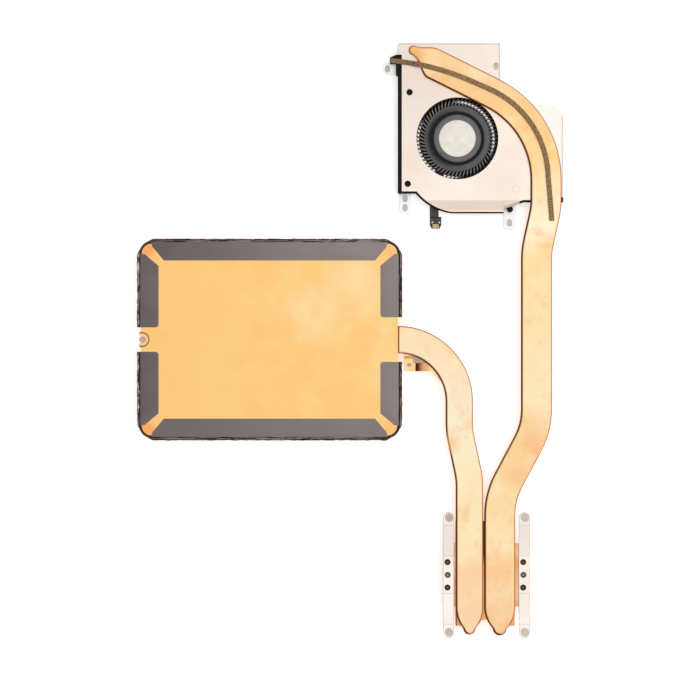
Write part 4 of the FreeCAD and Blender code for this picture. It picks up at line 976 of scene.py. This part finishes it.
def cold_marks(finish, colour):
    """Painted shade, dark brown, between and beside the pipes, and a darker left wing."""
    leftward = 1 - finish.x.between(-6, 6)
    colour = finish.mix(leftward * 0.45, colour, tint(222, 160, 106))
    # Painted shade: dark brown in the gap between the pipes and along the left side of a pipe.
    gap_shade = finish.x.near(-0.9, 0.8, 1.3) * finish.y.between(3, 9)
    beside = finish.x.near(-13.0, 0.15, 0.4)
    upper = finish.z.between(1.2, 1.8)
    colour = finish.mix(gap_shade * upper * 0.85, colour, tint(70, 32, 12))
    return finish.mix(beside * upper * 0.8, colour, tint(96, 46, 18))


def bracket_marks(finish, colour):
    """Painted shade on the bends of the small bracket: an orange fold, a dark step and a shaded upright
    strip.
    """
    # Painted shade: orange along the fold, a dark brown step fading to pale copper, and a grey upright strip.
    fold = finish.y.near(94.8, 0.4, 0.8) * (1 - finish.x.between(-31.6, -31.0))
    colour = finish.mix(fold * 0.8, colour, tint(218, 146, 58))
    right = finish.x.between(-31.0, -30.6)
    shaded = finish.mix(finish.x.between(-30.2, -26.5), tint(74, 32, 12), tint(238, 178, 122))
    colour = finish.mix(right * (1 - finish.x.between(-26.0, -24.0)), colour, shaded)
    strip = right * finish.y.between(92.0, 92.6) * (1 - finish.x.between(-20.0, -18.0))
    return finish.mix(strip, colour, tint(166, 144, 130))


def make_copper_parts():
    fan_pipe = pressed_pipe("fan_heat_pipe", "fan_pipe")
    dress(fan_pipe, "cooler", "pipe_copper", copper("fan_pipe_copper", (
        (0.0, tint(251, 196, 140)),
        (0.1, tint(252, 207, 153)),
        (0.15, tint(252, 222, 168)),
        (0.24, tint(252, 222, 168)),
        (0.33, tint(250, 207, 146)),
        (0.4, tint(252, 232, 188)),
        (0.5, tint(252, 226, 175)),
        (0.62, tint(252, 222, 166)),
        (0.69, tint(253, 244, 211)),
        (0.8, tint(251, 210, 140)),
        (0.93, tint(250, 206, 148)),
        (1.0, tint(252, 217, 166)),
    ), marks=fan_pipe_marks), "fan_heat_pipe")
    plate_pipe = pressed_pipe("spreader_heat_pipe", "plate_pipe")
    dress(plate_pipe, "cooler", "pipe_copper", copper("plate_pipe_copper", (
        (0.0, tint(253, 216, 172)),
        (0.1, tint(252, 214, 168)),
        (0.14, tint(253, 230, 180)),
        (0.27, tint(253, 233, 192)),
        (0.35, tint(252, 240, 209)),
        (0.43, tint(252, 224, 190)),
        (0.5, tint(253, 226, 182)),
    ), edges=(-1.0, -0.15), marks=plate_pipe_marks), "spreader_heat_pipe")
    cold = eased_copy("cold_plate", "processor_plate", 0.12)
    dress(cold, "cooler", "cold_copper", copper("cold_plate_copper", (
        (0.0, tint(230, 172, 124)),
        (0.1, tint(228, 168, 118)),
        (1.0, tint(230, 172, 122)),
    ), edges=None, marks=cold_marks), "cold_plate")
    plate = eased_copy("heat_spreader_plate", "spreader_sheet", 0.1)
    dress(plate, "cooler", "plate_copper", plate_finish(), "heat_spreader_plate")
    bracket = eased_copy("pipe_bracket", "bracket_sheet", 0.08)
    dress(bracket, "cooler", "bracket_steel", copper("bracket_copper", (
        (0.0, tint(250, 208, 136)),
        (1.0, tint(250, 208, 136)),
    ), edges=None, marks=bracket_marks), "pipe_bracket")


def plate_finish():
    """Thin sheet: orange gold with pale clouds to the right, orange corners, a painted highlight and painted
    shade on the ear's dimple, and painted shade on the sheet's sides.
    """
    finish = Finish("plate_copper")
    clouds = finish.noise(26.0, detail=5.0, roughness=0.6, distortion=0.4).between(0.42, 0.7)
    streaks = finish.noise(9.0, detail=4.0, stretch=(0.35, 1, 1)).between(0.48, 0.72)
    rightward = finish.x.between(-135, -50)
    colour = finish.mix(clouds * (0.25 + 0.5 * rightward), tint(255, 203, 128), tint(255, 224, 158))
    colour = finish.mix(streaks * 0.3 * rightward, colour, tint(255, 232, 180))
    ragged = 0.5 + finish.noise(10.0, detail=5.0)
    for x, y, reach in ((-74.0, 114.0, 17.0), (-56.0, 128.0, 19.0)):
        pale = 1 - finish.away_from(x, y).between(2.0, reach)
        colour = finish.mix(pale * 0.55 * ragged, colour, tint(255, 229, 176))
    warm = finish.noise(12.0).between(0.5, 0.75)
    colour = finish.mix(warm * 0.3, colour, tint(252, 194, 120))
    across, along = past_corner(finish.x, finish.y)
    outer = (across + along).between(-4.0, 3.5) * across.between(-3.0, 0.0) * along.between(-3.0, 0.0)
    colour = finish.mix(outer * (0.85 - 0.6 * rightward), colour, tint(251, 168, 102))
    ear = finish.away_from(PLATE_LEFT + 0.4, PLATE_MIDDLE)
    # Painted highlight and painted shade on the ear's dimple: a pale inner ring and a brown outer ring.
    colour = finish.mix(ear.near(2.3, 0.1, 0.4) * 0.7, colour, tint(255, 222, 190))
    colour = finish.mix(ear.near(3.0, 0.2, 0.42) * 0.85, colour, tint(150, 82, 34))
    # Painted shade: the sheet's steep sides are brown.
    rim = 1 - abs(finish.nz).between(0.4, 0.95)
    colour = finish.mix(rim * 0.7, colour, tint(150, 84, 36))
    fine = finish.noise(0.6, stretch=(0.1, 1, 1))
    normal = finish.bump(fine, 0.004, 0.5, finish.bump(finish.noise(20.0), 0.15, 0.3))
    finish.set(colour=colour, metal=1.0, rough=0.34 + 0.1 * clouds, normal=normal)
    return finish.material


def cover_marks(finish, colour):
    """A darker lower border and upper corner of painted shade, a paler right side, edge lines of painted
    shade and three round marks.
    """
    # Painted shade towards the upper left corner.
    corner = 1 - finish.away_from(-36.0, 216.0).between(4.0, 60.0)
    colour = finish.mix(corner * 0.6, colour, tint(232, 218, 206))
    # Painted shade on the sloping lower border.
    border = (1 - finish.y.between(158.6, 159.3)) * 0.15 + finish.y.near(161.0, 1.9, 2.3)
    colour = finish.mix(border * 0.75, colour, tint(226, 206, 190))
    right = finish.x.between(18.0, 24.0)
    colour = finish.mix(right * 0.8, colour, tint(253, 249, 246))
    # Painted shade: thin grey lines along the back and right edges and an inner edge.
    back = finish.y.between(COVER_BACK - 0.8, COVER_BACK - 0.4)
    inner = finish.x.near(5.7, 0.2, 0.45) * finish.y.between(213, 214)
    lines = back + inner + finish.x.between(COVER_RIGHT - 0.9, COVER_RIGHT - 0.5)
    colour = finish.mix(lines * 0.55, colour, tint(196, 184, 174))
    for x, y in ((-31.5, 217.6), (12.9, 168.0), (3.3, 228.9)):
        mark = finish.away_from(x, y).near(1.5, 0.15, 0.45)
        colour = finish.mix(mark * 0.2, colour, tint(214, 200, 184))
    return colour


def base_marks(finish, colour):
    """Shade below the cover's slot."""
    shade = 1 - finish.away_from(4.35, 221.8).between(2.6, 3.6)
    return finish.mix(shade * finish.nz.between(0.0, 0.5) * 0.85, colour, tint(222, 217, 208))


def under_wheel(finish):
    """Painted shade, black on the floor of the fan chamber, and painted glints, the bright arcs seen between
    the blades.
    """
    radius = finish.away_from(FAN_X, FAN_Y)
    # Painted shade: the fan chamber's floor is black.
    inside = 1 - radius.between(20.0, 20.6)
    inside = inside * finish.z.between(CHAMBER_FLOOR - 0.2, CHAMBER_FLOOR - 0.05)
    # Painted glints: bright arcs between the blades, on two opposite sides.
    toward = ((finish.x - FAN_X) * 0.83 + (finish.y - FAN_Y) * 0.56) / radius
    arc = abs(toward).between(0.42, 0.75)
    band = 1 - abs(radius - (16.5 - 0.7 * toward)).between(0.25, 0.65)
    return inside, inside * arc * band


def cover_foot(finish):
    """Black on the cover's lower edge beside the wide pipe, where the frame shows, with no glow."""
    bar = finish.x.between(15.8, 16.2) * (1 - finish.y.between(163.1, 163.4))
    end = finish.x.between(32.1, 32.4) * (1 - finish.y.between(164.2, 164.6))
    return (bar + end).at_most(1.0), None


def spring_marks(finish, colour):
    """Greyer upper arms, fine lines of painted shade at the four bends and a ragged grey rim of painted
    shade.
    """
    colour = finish.mix(finish.y.between(8, 9) * 0.6, colour, tint(238, 227, 219))
    # Painted shade: fine lines at the four bends.
    for y in (21.6, 8.35, -8.0, -21.3):
        colour = finish.mix(finish.y.near(y, 0.08, 0.26) * 0.42, colour, tint(176, 164, 154))
    # Painted shade: a ragged grey rim along the spring's edges and round its eyes.
    across = abs(finish.x) - SPRING_X
    beyond = (abs(finish.y) - SPRING_EYE_Y).at_least(0.0)
    side = (across * across + beyond * beyond).root().between(SPRING_HALF - 0.3, SPRING_HALF - 0.05)
    ragged = 0.3 + 0.5 * finish.noise(2.2).between(0.4, 0.6)
    return finish.mix(side * ragged, colour, tint(128, 119, 113))


def make_steel_parts():
    cover = eased_copy("fan_cover", "blower_cover", 0.12)
    dress(cover, "cooler", "cover_steel",
          sheet_steel("cover_steel", tint(254, 241, 228), tint(251, 235, 222), marks=cover_marks,
                      black_and_glints=cover_foot), "fan_cover")
    base = eased_copy("fan_base_plate", "blower_base", 0.14)
    dress(base, "cooler", "base_steel",
          sheet_steel("base_steel", tint(252, 250, 248), tint(244, 242, 240), marks=base_marks,
                      black_and_glints=under_wheel), "fan_base_plate")
    finish = sheet_steel("spring_steel", tint(253, 246, 238), tint(249, 238, 228), marks=spring_marks)
    for side in ("left", "right"):
        spring = eased_copy(f"leaf_spring_{side}", f"spring_{side}", 0.14, angle=8)
        dress(spring, "cooler", "spring_steel", finish, f"leaf_spring_{side}")


def frame_marks(finish, colour):
    """The sloping step beside the peg is pale, like the sheet above it."""
    step = finish.x.between(6.6, 7.0) * (1 - finish.x.between(14.3, 14.7)) * finish.y.between(158.3, 158.6)
    return finish.mix(step * finish.z.between(1.0, 1.2) * 0.9, colour, tint(226, 202, 180))


def make_frame_part():
    wall = eased_copy("fan_frame", "blower_frame", 0.1)
    finish = moulded_plastic("frame_black", tint(16, 14, 13), tint(34, 31, 29), rough=0.45, gloss=0.15,
                             marks=frame_marks)
    dress(wall, "cooler", "frame_plastic", finish, "fan_frame")


# Plug, fasteners and inner parts

def tail_marks(finish, colour):
    """The motor's tail: darker borders and a dark step above its head."""
    side = finish.x.near(-22.6, 1.4, 1.85)
    colour = finish.mix((1 - side) * finish.y.between(155.6, 156.0), colour, tint(44, 43, 43))
    return finish.mix(finish.y.near(155.7, 0.2, 0.5), colour, tint(34, 33, 34))


def make_plug():
    """Contact block at the tail's end: a pale block between two dark flanges, and two solder dots."""
    low = low_of("plug_body")
    high = high_of("plug_body")
    middle = middle_of("plug_body")
    flange = 0.62
    waist = 2.5
    broad, deep, tall = (above - below for above, below in zip(high, low))
    parts = []
    for wide, long, y in (
        (waist, deep, middle[1]),
        (broad, flange, high[1] - flange / 2),
        (broad, flange, low[1] + flange / 2),
    ):
        bpy.ops.mesh.primitive_cube_add(size=MM, location=metres(middle[0], y, middle[2]))
        block = bpy.context.object
        block.scale = (wide, long, tall)
        settle(block)
        modify(block, "BEVEL", width=0.1 * MM, segments=2)
        parts.append(block)
    plug = join(parts, "plug_block")
    smooth(plug, 40)
    finish = moulded_plastic("plug_black", tint(34, 24, 14), tint(58, 46, 32), rough=0.4, grain=0.3)
    dress(plug, "cooler", "plug_plastic", finish, "plug_body")

    tin = sheet_steel("solder_tin", tint(238, 236, 234), tint(216, 214, 212))
    top = high_of("motor_flex")[2]
    dots_y = 153.55
    for side, x in (("left", -23.4), ("right", -20.45)):
        dot = turned_piece(f"plug_solder_{side}", [
            (0.5, top - 0.02),
            (0.48, top + 0.08),
            (0.36, top + 0.2),
            (0.18, top + 0.26),
            (0.05, top + 0.27),
        ], 24, x, dots_y)
        smooth(dot, 60)
        dress(dot, "cooler", "contact_gold", tin)


def paint_inner_parts():
    """Finishes for the CAD nodes that stay as they are."""
    steel = sheet_steel("motor_steel", tint(190, 188, 186), tint(160, 158, 156))
    brass = copper("bearing_metal", ((0.0, tint(196, 150, 96)), (1.0, tint(206, 160, 104))), edges=None)
    fins = copper("fin_copper", ((0.0, tint(240, 190, 140)), (1.0, tint(246, 200, 150))), edges=None)
    wire = Finish("winding_copper")
    turns = (wire.z * 40.0).wave()
    varnish = wire.mix(turns.between(-1, 1), tint(150, 78, 36), tint(208, 122, 66))
    wire.set(colour=varnish, metal=0.7, rough=0.4, normal=wire.bump(turns, 0.02, 0.5))
    pale = moulded_plastic("pad_plastic", tint(206, 200, 190), tint(226, 220, 210))
    magnet = moulded_plastic("magnet_grey", tint(46, 45, 44), tint(70, 68, 66))
    film = moulded_plastic("flex_grey", tint(72, 71, 72), tint(92, 90, 90), rough=0.4, marks=tail_marks)
    gold = copper("contact_gold", ((0.0, tint(236, 226, 172)), (1.0, tint(228, 216, 160))), edges=None)
    finishes = {
        "bearing_housing": brass,
        "bearing_sleeve": brass,
        "thrust_pad": pale,
        "rotor_shaft": steel,
        "stator_core": steel,
        "stator_coils": wire.material,
        "rotor_magnet": magnet,
        "rotor_yoke": steel,
        "fin_stack": fins,
        "motor_flex": film,
        "plug_contacts": gold,
    }
    for name, material in finishes.items():
        nodes[name].data.materials.clear()
        nodes[name].data.materials.append(material)


def fastener(name, x, y, slot, material):
    """A small set head with a dished middle, on the spring."""
    head = turned_piece(name, [
        (0.2, SPRING_TOP - 0.3),
        (0.8, SPRING_TOP - 0.3),
        (0.85, SPRING_TOP - 0.01),
        (1.25, SPRING_TOP),
        (1.32, SPRING_TOP + 0.12),
        (1.18, SPRING_TOP + 0.28),
        (0.85, SPRING_TOP + 0.34),
        (0.6, SPRING_TOP + 0.28),
        (0.45, SPRING_TOP + 0.12),
        (0.1, SPRING_TOP + 0.1),
    ], 32, x, y)
    smooth(head, 50)
    dress(head, "cooler", slot, material)


def set_head(name, ring, middle):
    """Dark set metal, paler in the dished middle."""
    finish = Finish(name)
    height = finish.z + (finish.noise(0.5) - 0.5) * 0.08
    dish = 1 - height.between(SPRING_TOP + 0.14, SPRING_TOP + 0.25)
    finish.set(colour=finish.mix(dish, ring, middle), metal=0.8, rough=0.45,
               normal=finish.bump(finish.noise(0.3), 0.02, 0.5))
    return finish.material


def make_fasteners():
    """Four copper stakes of the processor plate and two steel rivets, three heads on each spring."""
    upper_y = 5.65
    rivet_y = 0.1
    lower_y = -5.4
    stake = set_head("stake_copper", tint(66, 36, 18), tint(128, 92, 58))
    rivet = set_head("rivet_steel", tint(92, 90, 88), tint(150, 147, 143))
    for side, x, rivet_x in (("left", -16.9, -16.8), ("right", 16.05, 16.15)):
        fastener(f"spring_stake_{side}_upper", x, upper_y, "cold_copper", stake)
        fastener(f"spring_rivet_{side}", rivet_x, rivet_y, "spring_steel", rivet)
        fastener(f"spring_stake_{side}_lower", x, lower_y, "cold_copper", stake)


bpy.ops.object.select_all(action="DESELECT")
add_camera()
add_floor()
add_light()
make_wheel()
make_label()
make_films()
make_foam()
make_copper_parts()
make_steel_parts()
make_frame_part()
make_plug()
make_fasteners()
paint_inner_parts()
